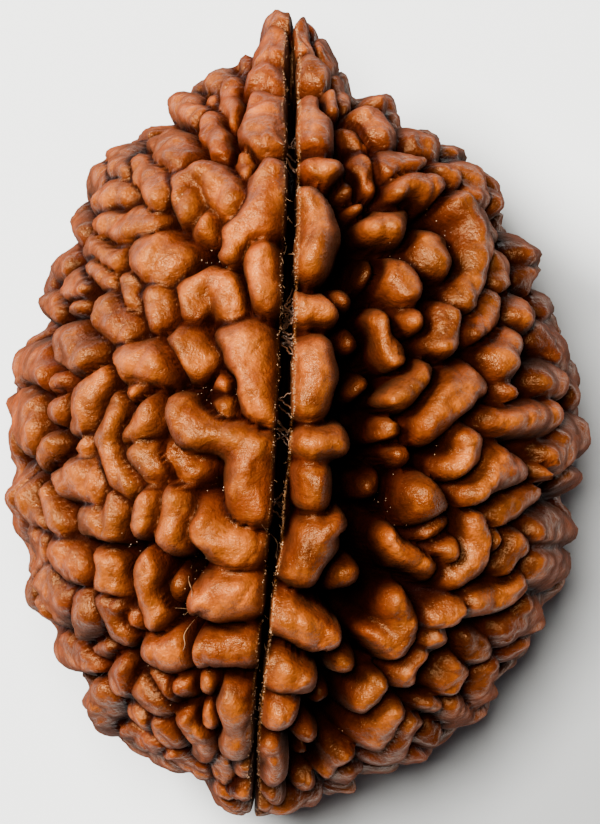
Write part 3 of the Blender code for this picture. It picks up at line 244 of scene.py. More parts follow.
rightRidges = [
    (-0.1, [(1.1, 12.85, 0.32), (1.35, 12.3, 0.33)], [(1.6, 11.5, 0.4), (1.75, 10.8, 0.38)]),
    (0.25, [(2.7, 10.25, 0.62), (3.1, 9.85, 0.66)]),
    (-0.1, [(3.6, 10.35, 0.38)]),
    (-0.3, [(2.05, 9.5, 0.4), (2.3, 9.1, 0.33)]),
    (-0.35, [(2.35, 8.6, 0.36), (2.3, 7.8, 0.4)]),
    (0.1, [(4.5, 9.5, 0.6), (4.9, 9.3, 0.5)], [(5.6, 9.1, 0.38)]),
    (0.1, [(3.25, 8.5, 0.38), (3.7, 8.75, 0.4), (4.3, 8.75, 0.38)]),
    (0.2, [(3.7, 7.6, 0.45), (4.3, 7.8, 0.6), (4.9, 7.8, 0.6)]),
    (-0.05, [(6.0, 8.5, 0.5), (6.4, 7.7, 0.5)]),
    (0.05, [(2.8, 6.4, 0.62), (3.5, 6.5, 0.68)]),
    (-0.4, [(2.1, 7.1, 0.35)]),
    (0.1, [(4.8, 5.75, 0.6), (5.0, 5.3, 0.52)]),
    (0.1, [(3.65, 4.85, 0.58), (4.1, 4.3, 0.5)], [(4.3, 3.3, 0.35)]),
    (-0.1, [(3.2, 3.2, 0.45), (3.4, 2.5, 0.5), (3.55, 1.9, 0.48)]),
    (0.25, [(5.9, 7.1, 0.45), (6.5, 6.5, 0.55), (6.55, 5.7, 0.5), (6.3, 4.7, 0.46), (6.0, 4.0, 0.38)],
     [(5.5, 3.4, 0.38), (5.3, 2.4, 0.42)]),
    (0.0, [(7.15, 6.4, 0.35)]),
    (0.1, [(8.15, 5.5, 0.55)], [(8.3, 4.9, 0.4)]),
    (-0.15, [(7.2, 5.3, 0.33), (7.35, 4.6, 0.3)]),
    (-0.1, [(6.95, 3.9, 0.32), (6.75, 3.2, 0.42), (6.5, 2.7, 0.4)]),
    (0.1, [(8.1, 3.5, 0.55)]),
    (-0.15, [(8.75, 2.7, 0.5), (9.15, 2.0, 0.42)]),
    (0.15, [(7.7, 2.35, 0.42), (7.3, 1.7, 0.52)], [(7.45, 0.8, 0.38)]),
    (0.05, [(9.2, 1.1, 0.48), (8.8, 1.05, 0.45)]),
    (0.1, [(4.55, 1.3, 0.48), (4.0, 0.75, 0.5), (3.5, 0.3, 0.45)]),
    (0.25, [(6.2, 1.0, 0.62), (5.6, 0.7, 0.6), (5.1, 0.1, 0.58), (4.6, -0.4, 0.5)],
     [(5.95, -0.9, 0.42), (6.0, -1.4, 0.36), (5.5, -1.8, 0.33)]),
    (-0.2, [(3.3, -0.6, 0.42)]),
    (-0.4, [(3.6, -1.4, 0.36)]),
    (0.2, [(7.1, -0.15, 0.45), (8.1, -0.15, 0.55), (9.1, -0.05, 0.6)],
     [(9.6, -0.8, 0.5), (9.1, -1.5, 0.5)], [(8.7, -2.1, 0.4)]),
    (0.0, [(9.6, -2.2, 0.35)]),
    (0.25, [(7.9, -2.0, 0.45), (7.25, -1.8, 0.62), (6.6, -2.3, 0.45), (6.1, -2.85, 0.38)]),
    (0.2, [(4.4, -2.7, 0.68), (4.7, -3.2, 0.65)]),
    (-0.3, [(4.9, -3.9, 0.38)]),
    (-0.15, [(3.3, -4.3, 0.42), (3.9, -4.9, 0.42), (4.6, -5.35, 0.38)]),
    (0.2, [(6.35, -3.8, 0.42), (6.55, -4.5, 0.5), (6.2, -5.1, 0.5), (5.75, -5.6, 0.42)],
     [(5.5, -4.85, 0.38)]),
    (0.0, [(8.4, -2.6, 0.32), (7.8, -3.1, 0.32), (7.2, -3.7, 0.32)], [(7.0, -4.4, 0.28)]),
    (0.0, [(9.2, -3.8, 0.5), (8.5, -4.1, 0.45)], [(7.8, -4.5, 0.42), (7.4, -5.2, 0.38)]),
    (0.05, [(9.2, -5.3, 0.6), (8.6, -5.4, 0.55)]),
    (0.25, [(7.9, -5.8, 0.42), (7.1, -6.4, 0.47), (6.4, -6.7, 0.47)],
     [(5.7, -6.85, 0.47), (5.1, -7.2, 0.45)], [(5.0, -7.9, 0.4)]),
    (0.05, [(3.5, -6.6, 0.42), (3.95, -7.2, 0.45), (3.6, -7.9, 0.5), (2.95, -7.6, 0.4)]),
    (0.0, [(8.3, -6.9, 0.52), (7.5, -7.6, 0.5)], [(6.6, -8.2, 0.45)]),
    (0.1, [(4.5, -8.6, 0.36), (4.05, -9.2, 0.36)]),
    (0.1, [(2.9, -9.4, 0.52), (2.3, -10.1, 0.5)]),
    (0.05, [(5.7, -9.0, 0.4), (5.3, -9.5, 0.38)]),
    (0.0, [(6.9, -9.0, 0.42), (6.65, -9.7, 0.42)]),
    (0.2, [(3.5, -10.5, 0.6), (2.8, -11.3, 0.65)], [(1.8, -12.0, 0.45), (1.1, -12.7, 0.42)],
     [(0.5, -13.2, 0.35)]),
    (0.0, [(4.9, -10.2, 0.38)]),
    (0.0, [(5.6, -10.3, 0.42), (6.0, -10.6, 0.38)]),
    (0.0, [(4.8, -11.3, 0.42)]),
    (0.0, [(4.2, -11.9, 0.42)]),
    (0.0, [(2.4, -12.6, 0.34), (1.8, -13.0, 0.3)]),
    (-0.9, [(0.4, -11.8, 0.4)]),
    (-1.0, [(0.9, -9.8, 0.4)]),
    (-1.0, [(2.5, -2.5, 0.5)]),
    (-1.0, [(2.6, 4.8, 0.4)]),
    (-1.0, [(2.0, 2.4, 0.4)]),
    (-0.7, [(2.2, 0.7, 0.45)]),
    (-0.4, [(1.9, 4.0, 0.35)]),
    (-0.8, [(1.8, 7.6, 0.4)]),
]


def smoothRows(rows, at):
    # A smooth curve through a table's rows: a cubic that meets each with the slope between its neighbours
    table = np.array(rows, float)
    known, values = table[:, 0], table[:, 1:]
    slopes = np.gradient(values, known, axis=0)
    at = np.clip(at, known[0], known[-1])
    i = np.clip(np.searchsorted(known, at) - 1, 0, len(known) - 2)
    span = (known[i + 1] - known[i])[..., None]
    t = (at - known[i])[..., None] / span
    return ((1 + 2 * t) * (1 - t) ** 2 * values[i] + t * (1 - t) ** 2 * span * slopes[i]
            + t * t * (3 - 2 * t) * values[i + 1] - t * t * (1 - t) * span * slopes[i + 1])


def latticeNoise(points, size, seed):
    # Random values on a cubic lattice, from -1 to 1, blended between the corners of each cell
    side = 64
    values = np.random.default_rng(seed).uniform(-1, 1, (side, side, side))
    p = points / size + (side - 1) / 2
    cell = np.floor(p).astype(int)
    t = p - cell
    t = t * t * (3 - 2 * t)
    total = np.zeros(len(points))
    for corner in np.ndindex(2, 2, 2):
        weight = np.prod(np.where(np.array(corner) == 1, t, 1 - t), axis=1)
        i = (cell + corner) % side
        total += weight * values[i[:, 0], i[:, 1], i[:, 2]]
    return total


def wavesOf(points, rows, seed):
    # Lattice noise of several sizes, summed: each row is a size and a height, with a seed of its own
    return sum(high * latticeNoise(points, size, seed + i) for i, (size, high) in enumerate(rows))


def addBumps(total, points, rows):
    # Adds rounded bumps (+) or hollows (-) as seen from the front: x, y, radius, height of each
    for x, y, radius, high in rows:
        total += high * np.exp(-(np.hypot(points[:, 0] - x, points[:, 1] - y) / radius) ** 2)


def latitudeOf(y):
    # The base is at -90 degrees and the tip at 90, and y goes as the sine between them
    half = (stoneForm["tipY"] - stoneForm["baseY"]) / 2
    return np.arcsin(np.clip((np.asarray(y, float) - stoneForm["baseY"]) / half - 1, -1, 1))


def yOf(latitude):
    # The other way round
    return stoneForm["baseY"] + (stoneForm["tipY"] - stoneForm["baseY"]) / 2 * (1 + np.sin(latitude))


def fullnessRows():
    # The outline's distances left and right of the cleft, over the cosine of the latitude
    rows = []
    for y, left, right in stoneForm["outline"]:
        middle = smoothRows(stoneForm["cleft"], np.array(y))[0]
        latitude = float(latitudeOf(y))
        rows.append((latitude, (middle - left) / math.cos(latitude), (right - middle) / math.cos(latitude)))
    return rows


fullness = fullnessRows()


def sectionOf(latitude):
    # The section's middle, and its half sizes to the left, right, front and back
    middle = smoothRows(stoneForm["cleft"], yOf(latitude))[..., 0]
    full = smoothRows(fullness, latitude)
    left, right = full[..., 0], full[..., 1]
    mean = (left + right) / 2
    return middle, left, right, stoneForm["frontShare"] * mean, stoneForm["backShare"] * mean


def skinPoint(latitude, longitude):
    # A superellipse section at each latitude, with its own half size left, right, front and back.
    # Longitude 0 is the front cleft and 90 degrees the right edge.
    middle, left, right, front, back = sectionOf(latitude)
    s, c = np.sin(longitude), np.cos(longitude)
    wide, deep = np.where(s < 0, left, right), np.where(c > 0, front, back)
    power = stoneForm["sectionPower"]
    reach = (np.abs(s / wide) ** power + np.abs(c / deep) ** power) ** (-1 / power) * np.cos(latitude)
    return np.stack([middle + reach * s, yOf(latitude), reach * c], axis=-1)


def onFront(x, y):
    # The latitude and longitude of the skin's points that are seen at x, y from the front
    x, latitude = np.asarray(x, float), latitudeOf(y)
    middle, left, right, front, _ = sectionOf(latitude)
    narrowing = np.maximum(np.cos(latitude), stoneForm["tipNarrowing"])
    wide = np.where(x < middle, left, right) * narrowing
    share = np.minimum(np.abs(x - middle) / wide, stoneForm["edgeShare"])
    power = stoneForm["sectionPower"]
    z = front * narrowing * (1 - share ** power) ** (1 / power)
    return latitude, np.arctan2(np.copysign(share * wide, x - middle), z)


def cellEdges(points, size, seed):
    # Distance to the nearest seam of a jumble of rounded cells: a cell round one random point of each cube
    side, spread = 32, (0.1, 0.9)
    offsets = np.random.default_rng(seed).uniform(*spread, (side, side, side, 3))
    p = points / size + (side - 1) / 2
    cell = np.floor(p).astype(int)
    first = np.full(len(points), np.inf)
    second = first.copy()
    for step in np.ndindex(3, 3, 3):
        corner = cell + np.array(step) - 1
        i = corner % side
        away = np.linalg.norm(p - corner - offsets[i[:, 0], i[:, 1], i[:, 2]], axis=1)
        second = np.minimum(second, np.maximum(first, away))
        first = np.minimum(first, away)
    return (second - first) / 2 * size


def outwardFromCore(points):
    # Relief is raised away from a core line that sags to the back in its middle
    coreY = stoneForm["coreShare"] * points[..., 1]
    coreZ = stoneForm["coreDrop"] * ((points[..., 1] / stoneForm["tipY"]) ** 2 - 1)
    core = np.stack([smoothRows(stoneForm["cleft"], coreY)[..., 0], coreY, coreZ], axis=-1)
    outward = points - core
    return outward / np.linalg.norm(outward, axis=-1, keepdims=True)


def crestPoint(x, y, level, rounds=4):
    # The skin's point under a crest that is seen at x, y from the front and stands at this level:
    # the aim is moved by what it misses, a few times
    aimX, aimY = x, y
    for _ in range(rounds):
        latitude, longitude = onFront(aimX, aimY)
        point = skinPoint(latitude, longitude)
        seen = point + level * outwardFromCore(point)
        aimX, aimY = aimX + x - seen[0], aimY + y - seen[1]
    return point, latitude, longitude


def placedRidges():
    # The front's ridges on the skin: (level, side of the cleft, stretch, lobes), a lobe being
    # a run of (point, half width). At the outline's edge a lobe runs on round the flank.
    ridges = []
    raised = [(level + reliefForm["lipLevel"], *lobes) for level, *lobes in lipRidges]
    for level, *lobes in raised + leftRidges + rightRidges:
        x, y, _ = lobes[0][0]
        side = 1 if x > smoothRows(stoneForm["cleft"], np.array(y))[0] else -1
        placed = []
        for lobe in lobes:
            run = []
            for x, y, halfWidth in lobe:
                point, latitude, longitude = crestPoint(x, y, level)
                halfWidth *= 1 + reliefForm["edgeWidens"] * max(abs(longitude) - reliefForm["edgeStart"], 0)
                run.append((point, halfWidth))
                if abs(longitude) > reliefForm["edgeAngle"]:
                    run.append((skinPoint(latitude, side * reliefForm["edgeReach"]), halfWidth))
            placed.append(run)
        ridges.append((level, side, reliefForm["flankStretch"], placed))
    return ridges


backLipForm = {
    "ends": (0.7, 1.0),          # mm left free at the base and at the tip
    "step": (1.1, 2.9),          # mm from one lobe to the next
    "margin": 0.45,              # from the ends of a step to the ends of the crest line
    "offset": 0.85,              # from the cleft to the crest line,
    "offsetShares": (0.75, 1.4),     # which varies between these shares of it,
    "offsetLimit": 0.6,              # up to this share of the depth there
    "halfWidth": (0.6, 0.8),
    "level": (0.1, 0.25),
}


def backLips(rng):
    # Two rows of lobes along the back cleft
    form, ridges = backLipForm, []
    for side in (-1, 1):
        y = stoneForm["baseY"] + form["ends"][0]
        while y < stoneForm["tipY"] - form["ends"][1]:
            length = rng.uniform(*form["step"])
            run = []
            for at in (y + form["margin"], y + length - form["margin"]):
                latitude = latitudeOf(at)
                deep = sectionOf(latitude)[4] * math.cos(latitude)
                offset = min(form["offset"] * rng.uniform(*form["offsetShares"]), form["offsetLimit"] * deep)
                run.append((skinPoint(latitude, math.pi - side * math.atan2(offset, deep)),
                            rng.uniform(*form["halfWidth"])))
            ridges.append((rng.uniform(*form["level"]), side, 1.0, [run]))
            y += length
    return ridges


grownForm = {
    "seed": 21,
    "tries": 5000,
    "latitudes": 0.995,      # sine of the last latitude that is filled
    "spacing": 1.35,         # mm between two points at least
    "clearance": 1.25,       # and from the lobes that stand already
    "reach": 2.1,            # mm to the next point of a ridge at most
    "run": (1, 5),           # points of a ridge, from the first to below the second
    "straightness": 0.5,     # how much nearer a point straight ahead counts
    "creaseShare": 0.3,      # of a ridge's steps that part two lobes
    "halfWidth": (0.5, 0.75),
    "level": (-0.2, 0.15),
}


def grownRidges(taken, rng):
    # Fills the rest of the skin: points kept a spacing apart, joined to their neighbours in short runs
    form, spots = grownForm, []
    latitudes = np.arcsin(rng.uniform(-form["latitudes"], form["latitudes"], form["tries"]))
    longitudes = rng.uniform(0, 2 * math.pi, form["tries"])
    for point in skinPoint(latitudes, longitudes):
        if np.linalg.norm(taken - point, axis=1).min() < form["clearance"]:
            continue
        if spots and np.linalg.norm(np.array(spots) - point, axis=1).min() < form["spacing"]:
            continue
        spots.append(point)
    spots = np.array(spots)
    sides = np.where(spots[:, 0] > smoothRows(stoneForm["cleft"], spots[:, 1])[:, 0], 1, -1)
    free = np.ones(len(spots), bool)
    ridges = []
    for start in range(len(spots)):
        if not free[start]:
            continue
        lobes, run, at, heading = [], [], start, None
        for _ in range(rng.integers(*form["run"])):
            free[at] = False
            run.append((spots[at], rng.uniform(*form["halfWidth"])))
            steps = spots - spots[at]
            far = np.linalg.norm(steps, axis=1)
            cost = far.copy()
            if heading is not None:
                cost -= form["straightness"] * (steps @ heading) / np.maximum(far, 1e-9)
            cost[~free | (far > form["reach"]) | (sides != sides[start])] = np.inf
            nearest = int(np.argmin(cost))
            if not np.isfinite(cost[nearest]):
                break
            heading = steps[nearest] / far[nearest]
            if rng.random() < form["creaseShare"]:
                lobes.append(run)
                run = []
            at = nearest
        if run:
            lobes.append(run)
        ridges.append((rng.uniform(*form["level"]), sides[start], 1.0, lobes))
    return ridges


def allRidges():
    # Every ridge of the stone: (level, side of the cleft, stretch, lobes)
    rng = np.random.default_rng(grownForm["seed"])
    ridges = placedRidges() + backLips(rng)
    taken = np.array([point for _, _, _, lobes in ridges for lobe in lobes for point, _ in lobe])
    return ridges + grownRidges(taken, rng)


ridges = allRidges()
print("ridges:", len(ridges), "lobes:", sum(len(lobes) for _, _, _, lobes in ridges))


def lobeDistance(points, run, stretch):
    # How far each point is outside a lobe's edge, which is its distance to the crest line less the
    # half width there, and that half width. Depth counts for less by the stretch.
    ends = run if len(run) > 1 else run * 2
    scale = np.array([1, 1, stretch])
    best, width = np.full(len(points), np.inf), np.ones(len(points))
    for (a, wideA), (b, wideB) in zip(ends[:-1], ends[1:]):
        along, away = (b - a) * scale, (points - a) * scale
        t = np.clip(away @ along / max(along @ along, 1e-9), 0, 1)
        wide = wideA + t * (wideB - wideA)
        outside = np.linalg.norm(away - t[:, None] * along, axis=1) - wide
        width = np.where(outside < best, wide, width)
        best = np.minimum(best, outside)
    return best, width


def lineDistance(x, y, line):
    # The least distance to a line of straight parts, as seen from the front
    best = np.full(len(x), np.inf)
    for (ax, ay), (bx, by) in zip(line[:-1], line[1:]):
        dx, dy = bx - ax, by - ay
        t = np.clip(((x - ax) * dx + (y - ay) * dy) / (dx * dx + dy * dy), 0, 1)
        best = np.minimum(best, np.hypot(x - ax - t * dx, y - ay - t * dy))
    return best


def reliefOf(points):
    # How far the surface stands above (+) or below (-) the skin. Each lobe is a rounded dome
    # over its crest line. Ridges part where two are equally near, in a full crevice, and the
    # lobes of one ridge in a shallow crease. Noise shifts the outlines and lifts small knobs.
    form, seeds = reliefForm, reliefForm["seeds"]
    backward = np.clip(0.5 - points[:, 2] / form["frontFade"], 0, 1)
    moved = points.copy()
    for seed, (size, front, back) in enumerate(form["waves"]):
        shift = np.stack([latticeNoise(points, size, 10 * seed + axis) for axis in range(3)], axis=1)
        moved += (front + (back - front) * backward)[:, None] * shift
    cleft = smoothRows(stoneForm["cleft"], points[:, 1])
    sides = np.where(points[:, 0] > cleft[:, 0], 1, -1)
    count, far = len(points), 9.0      # mm, beyond any lobe
    first, otherLobe, otherRidge = np.full(count, far), np.full(count, far), np.full(count, far)
    level, width, tint = np.zeros(count), np.ones(count), np.zeros(count)
    tints = np.random.default_rng(grownForm["seed"]).uniform(0, 1, len(ridges))
    for number, (ridgeLevel, side, stretch, lobes) in enumerate(ridges):
        here = np.where(sides == side)[0]
        nearest, second, ridgeWidth = np.full(len(here), far), np.full(len(here), far), np.ones(len(here))
        for lobe in lobes:
            outside, wide = lobeDistance(moved[here], lobe, stretch)
            closer = outside < nearest
            second = np.where(closer, nearest, np.minimum(second, outside))
            ridgeWidth = np.where(closer, wide, ridgeWidth)
            nearest = np.minimum(nearest, outside)
        wins = nearest < first[here]
        otherRidge[here] = np.where(wins, first[here], np.minimum(otherRidge[here], nearest))
        otherLobe[here] = np.where(wins, second, otherLobe[here])
        level[here] = np.where(wins, ridgeLevel, level[here])
        width[here] = np.where(wins, ridgeWidth, width[here])
        tint[here] = np.where(wins, tints[number], tint[here])
        first[here] = np.minimum(first[here], nearest)
    power = form["domePower"]
    skirt = np.where(sides < 0, *form["lobeSkirts"])
    across = np.clip((first + width) / (width + skirt), 0, 1)
    dome = (1 - across ** power) ** (1 / power)
    apart = np.clip((otherRidge - first) / 2 / (form["creviceWidth"] + form["creviceWidens"] * width), 0, 1)
    low, high = form["creviceShares"]
    patch = 0.5 + form["creviceContrast"] * latticeNoise(points, form["crevicePatch"], seeds["patches"])
    deep = low + (high - low) * np.clip(patch, 0, 1)
    dome = dome * (1 - deep * (1 - np.sqrt(1 - (1 - apart) ** 2)))
    trough = lineDistance(points[:, 0], points[:, 1], form["trough"]) / form["troughWidth"]
    deeper = form["troughDepth"] * np.exp(-trough ** 2)
    addBumps(deeper, points, form["pits"])
    facing = np.abs(points[:, 2]) / form["frontDepth"]
    floor = form["flankRise"] + (form["lobeRise"] - form["flankRise"]) * np.clip(facing, 0, 1)
    floor += np.where(points[:, 2] > 0, deeper, 0)
    level *= np.clip(np.abs(points[:, 2]) / form["levelFade"], 0, 1)
    level -= form["smallLobeSinks"] * np.clip(form["smallLobe"] - width, 0, 1)
    crease = np.clip((otherLobe - first) / 2 / form["creaseWidth"], 0, 1)
    knobs = wavesOf(points, form["knobs"], seeds["knobs"])
    knuckle = np.clip(cellEdges(moved, form["knuckleSize"], seeds["knuckles"]) / form["knuckleWidth"], 0, 1)
    knobs -= form["knuckleDepth"] * (1 - knuckle) ** 2
    height = -floor + (floor + level + knobs - form["creaseDepth"] * (1 - crease) ** 2) * dome
    addBumps(height, points, form["outlineShapes"])
    mouth = np.abs(points[:, 0] - cleft[:, 0]) - cleft[:, 1] / 2
    mouth += wavesOf(points, form["cleftRagged"], seeds["mouth"])
    wall = np.clip(mouth / form["cleftWall"], 0, 1)
    wall = np.sqrt(1 - (1 - wall) ** 2)
    depth = form["cleftEndShare"] * np.abs(points[:, 2]) + form["cleftEndDepth"]
    height = wall * height - (1 - wall) * np.minimum(form["cleftDepth"], depth)
    furrow = 1 - form["knuckleCrease"] * (1 - knuckle)
    return {"height": height, "dome": dome, "crease": np.minimum(crease, furrow),
            "seam": otherRidge - first, "tint": tint, "mouth": mouth}


def stoneSurface(latitude, longitude):
    # The skin, moved along the line from the core by the relief's height
    points = skinPoint(latitude, longitude)
    outward = outwardFromCore(points)
    relief = reliefOf(points)
    return points + relief["height"][:, None] * outward, outward, relief


def seated(points):
    # From the stone's own measure to the frame: metres, with the lowest lobes flat on the floor
    points = points + [-stoneForm["middleX"], -stoneForm["middleY"], stoneForm["axisHeight"]]
    points[:, 2] = np.maximum(points[:, 2], 0)
    return points * mm


def addMesh(name, points, faces, smooth=True):
    mesh = bpy.data.meshes.new(name)
    mesh.from_pydata(points.tolist(), [], faces)
    mesh.polygons.foreach_set("use_smooth", np.full(len(mesh.polygons), smooth))
    piece = bpy.data.objects.new(name, mesh)
    bpy.context.scene.collection.objects.link(piece)
    return piece


def addAttribute(piece, name, values):
    layer = piece.data.attributes.new(name, "FLOAT", "POINT")
    layer.data.foreach_set("value", np.asarray(values, np.float32))


def ringFaces(count, rings, columns):
    # Faces of closed bodies that are each a stack of rings and then its two poles: quads between
    # neighbouring rings, and a fan of triangles from each pole to the ring beside it
    index = np.arange(rings * columns).reshape(rings, columns)
    beside = np.roll(index, -1, axis=1)
    quads = np.stack([index[:-1], beside[:-1], beside[1:], index[1:]], axis=-1).reshape(-1, 4)
    start = np.stack([np.full(columns, rings * columns), beside[0], index[0]], axis=-1)
    end = np.stack([np.full(columns, rings * columns + 1), index[-1], beside[-1]], axis=-1)
    first = np.arange(count)[:, None, None] * (rings * columns + 2)
    faces = [(first + part).reshape(-1, part.shape[1]).tolist() for part in (quads, start, end)]
    return faces[0] + faces[1] + faces[2]


stonePiece = {
    "rows": 222,
    "columns": 444,
    "fineSteps": 4001,       # that the rows and columns are measured out on
    "frontCrowd": 0.55,      # columns are closer together on the front by this share
    "cleftCrowd": 4.5,       # and at the two clefts
    "cleftCrowdAngle": 0.05,
    "belt": (0.72, 0.32),    # the upright share of the normal where the belt of painted shade and matte finish starts and is full
    "shadedLip": 0.32,       # on the lip turned from the light the painted shade of the mouth reaches further out
    "huskBand": (0.14, 0.045),     # mm from the mouth's edge to the rim with torn husk, and its spread
    "huskShares": (0.35, 1.0),     # how much of it is on the left lip and on the right one
}


def gridLines():
    # Latitudes at even steps along the right edge, and longitudes that crowd at the front and the clefts
    fine = np.linspace(-math.pi / 2, math.pi / 2, stonePiece["fineSteps"])
    edge = skinPoint(fine, np.full_like(fine, math.pi / 2))
    lengths = np.concatenate([[0], np.cumsum(np.linalg.norm(np.diff(edge, axis=0), axis=1))])
    latitudes = np.interp(np.linspace(0, lengths[-1], stonePiece["rows"] + 2), lengths, fine)[1:-1]
    turn = np.linspace(0, math.pi, stonePiece["fineSteps"])
    near = np.minimum(turn, math.pi - turn) / stonePiece["cleftCrowdAngle"]
    crowd = 1 + stonePiece["cleftCrowd"] * np.exp(-near ** 2) + stonePiece["frontCrowd"] * np.cos(turn)
    steps = np.concatenate([[0], np.cumsum((crowd[1:] + crowd[:-1]) / 2)])
    half = np.interp(np.linspace(0, steps[-1], stonePiece["columns"] // 2 + 1), steps, turn)
    return latitudes, np.concatenate([half, 2 * math.pi - half[-2:0:-1]])


def makeStone():
    # The raised skin at every latitude and longitude and at the two poles. What the finish needs to
    # know of each point goes with it as attributes.
    latitudes, longitudes = gridLines()
    grid = np.stack(np.meshgrid(latitudes, longitudes, indexing="ij"), axis=-1).reshape(-1, 2)
    grid = np.concatenate([grid, [[-math.pi / 2, 0], [math.pi / 2, 0]]])
    points, _, relief = stoneSurface(grid[:, 0], grid[:, 1])
    piece = addMesh("stone_surface", seated(points), ringFaces(1, len(latitudes), len(longitudes)))
    normals = np.empty(len(points) * 3)
    piece.data.vertex_normals.foreach_get("vector", normals)
    beltStart, beltFull = stonePiece["belt"]
    # Flanks whose normals don't point up get painted shade and a matte finish
    relief["belt"] = np.clip((beltStart - np.abs(normals[2::3])) / (beltStart - beltFull), 0, 1)
    middle = smoothRows(stoneForm["cleft"], points[:, 1])[:, 0]
    left = points[:, 0] < middle
    rim, spread = stonePiece["huskBand"]
    relief["husk"] = np.exp(-((relief["mouth"] - rim) / spread) ** 2)
    relief["husk"] *= np.where(left, *stonePiece["huskShares"])
    # The mouth is shrunk on the left lip, so that its painted shade reaches further out there
    relief["mouth"] *= np.where(left, stonePiece["shadedLip"], 1.0)
    for name, values in relief.items():
        addAttribute(piece, name, values)
    return piece


stone = makeStone()
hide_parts("stone")
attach(stone, "root")
print("stone surface:", len(stone.data.polygons), "faces")


def surfaceAt(x, y, rounds=3):
    # The stone's surface as seen at x, y from the front, found by moving the aim by what it misses
    aimX, aimY = x, y
    for _ in range(rounds):
        points, outward, _ = stoneSurface(*onFront(aimX, aimY))
        aimX, aimY = aimX + x - points[:, 0], aimY + y - points[:, 1]
    return points, outward


def cleftEdge(y, side, inset, rounds=3):
    # Points on a lip of the front cleft, this far from the edge of its ragged mouth
    middle, wide = smoothRows(stoneForm["cleft"], y).T
    x = middle + side * (wide / 2 + inset)
    for _ in range(rounds):
        points, outward, relief = stoneSurface(*onFront(x, y))
        x = x + side * (inset - relief["mouth"])
    return points, outward


def tubes(paths, radii, sides=5):
    # A round tube along each path: a ring across it at each of its points, and a pole at both ends
    count, steps = radii.shape
    along = np.gradient(paths, axis=1)
    along /= np.linalg.norm(along, axis=2, keepdims=True)
    across = np.cross(along, [0.31, 0.17, 0.93])      # a direction that no path follows
    across /= np.linalg.norm(across, axis=2, keepdims=True)
    beside = np.cross(along, across)
    turn = np.linspace(0, 2 * math.pi, sides, endpoint=False)
    ring = np.cos(turn)[:, None] * across[:, :, None] + np.sin(turn)[:, None] * beside[:, :, None]
    rings = paths[:, :, None] + radii[:, :, None, None] * ring
    points = np.concatenate([rings.reshape(count, -1, 3), paths[:, :1], paths[:, -1:]], axis=1)
    return points.reshape(-1, 3), ringFaces(count, steps, sides)


def curls(starts, headings, bends, lengths, steps=6):
    # A path from each start: the heading times the way along, and a bend that grows with its square
    way = np.linspace(0, 1, steps)[None, :, None]
    lengths = lengths[:, None, None]
    return starts[:, None] + lengths * (way * headings[:, None] + way ** 2 * bends[:, None])


def unit(vectors):
    return vectors / np.linalg.norm(vectors, axis=1, keepdims=True)


grainForm = {
    "rings": 5,
    "columns": 7,
    "rough": (0.55, 1.25),       # how far in or out each point is pushed
    "stretch": (0.55, 1.3),      # of a grain along each axis
}


def grains(centres, sizes, rng):
    # A rough ball for each grain: rings of a sphere, each point pushed in or out at random, then flattened
    rings, columns = grainForm["rings"], grainForm["columns"]
    polar = np.linspace(0, math.pi, rings + 2)[1:-1]
    turn = np.linspace(0, 2 * math.pi, columns, endpoint=False)
    ball = np.stack([np.outer(np.sin(polar), np.cos(turn)), np.outer(np.sin(polar), np.sin(turn)),
                     np.outer(np.cos(polar), np.ones(columns))], axis=-1).reshape(-1, 3)
    ball = np.concatenate([ball, [[0, 0, 1], [0, 0, -1]]])
    count = len(centres)
    rough = rng.uniform(*grainForm["rough"], (count, len(ball), 1))
    shape = ball * rough * rng.uniform(*grainForm["stretch"], (count, 1, 3))
    points = centres[:, None] + sizes[:, None, None] * shape
    # The rings run down from the top, so the faces turn the other way
    faces = [face[:1] + face[:0:-1] for face in ringFaces(count, rings, columns)]
    return points.reshape(-1, 3), faces


def smoothTube(spots, form):
    # A smooth curve through the spots, and its radii, which shrink towards both ends
    way = np.linspace(0, 1, form["steps"])
    path = smoothRows(np.column_stack([np.linspace(0, 1, len(spots)), spots]), way)
    return path, form["radius"] * (form["ends"] + (1 - form["ends"]) * np.sin(math.pi * way) ** 0.5)


def rideStone(name, points, faces):
    piece = addMesh(name, seated(points), faces)
    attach(piece, "root")
    print(name + ":", len(faces), "faces")
    return piece


fringePiece = {
    "count": 90,
    "span": (-13.3, 13.3),
    "scatter": 0.5,            # mm that they stray along the cleft
    "limits": (-13.4, 13.4),
    "inset": (0.03, 0.12),     # mm from the mouth's edge
    "rooted": 0.01,            # mm that their feet are sunk
    "length": (0.06, 0.20),
    "radius": (0.008, 0.016),
    "taper": 0.35,             # what is left of the radius at the end
    "lean": (0.5, 0.3, 0.45),  # into the cleft at most, along it at least, and outwards at most
    "bend": (0.5, 0.35),       # at random, and back to the shell
    "seed": 3,
}


def makeFringe():
    # Short torn fibres on both lips of the front cleft. They lean along it and into it.
    form, rng = fringePiece, np.random.default_rng(fringePiece["seed"])
    count = form["count"]
    y = np.sort(rng.uniform(*form["span"], count) + form["scatter"] * rng.normal(size=count))
    side = rng.choice([-1.0, 1.0], count)
    starts, outward = cleftEdge(y.clip(*form["limits"]), side, rng.uniform(*form["inset"], count))
    inward = np.stack([-side, np.zeros(count), np.zeros(count)], axis=1)
    along = np.array([0.0, 1.0, 0.0]) * rng.choice([-1.0, 1.0], count)[:, None]
    share = rng.uniform(0, 1, (count, 3))
    into, on, up = form["lean"]
    headings = into * share[:, :1] * inward + (on + share[:, 1:2]) * along + up * share[:, 2:] * outward
    wild, back = form["bend"]
    bends = wild * rng.normal(size=(count, 3)) - back * outward
    starts = starts - form["rooted"] * outward
    paths = curls(starts, unit(headings), bends, rng.uniform(*form["length"], count))
    taper = np.linspace(1.0, form["taper"], paths.shape[1])
    radii = rng.uniform(*form["radius"], (count, 1)) * taper
    return rideStone("cleft_fringe", *tubes(paths, radii))


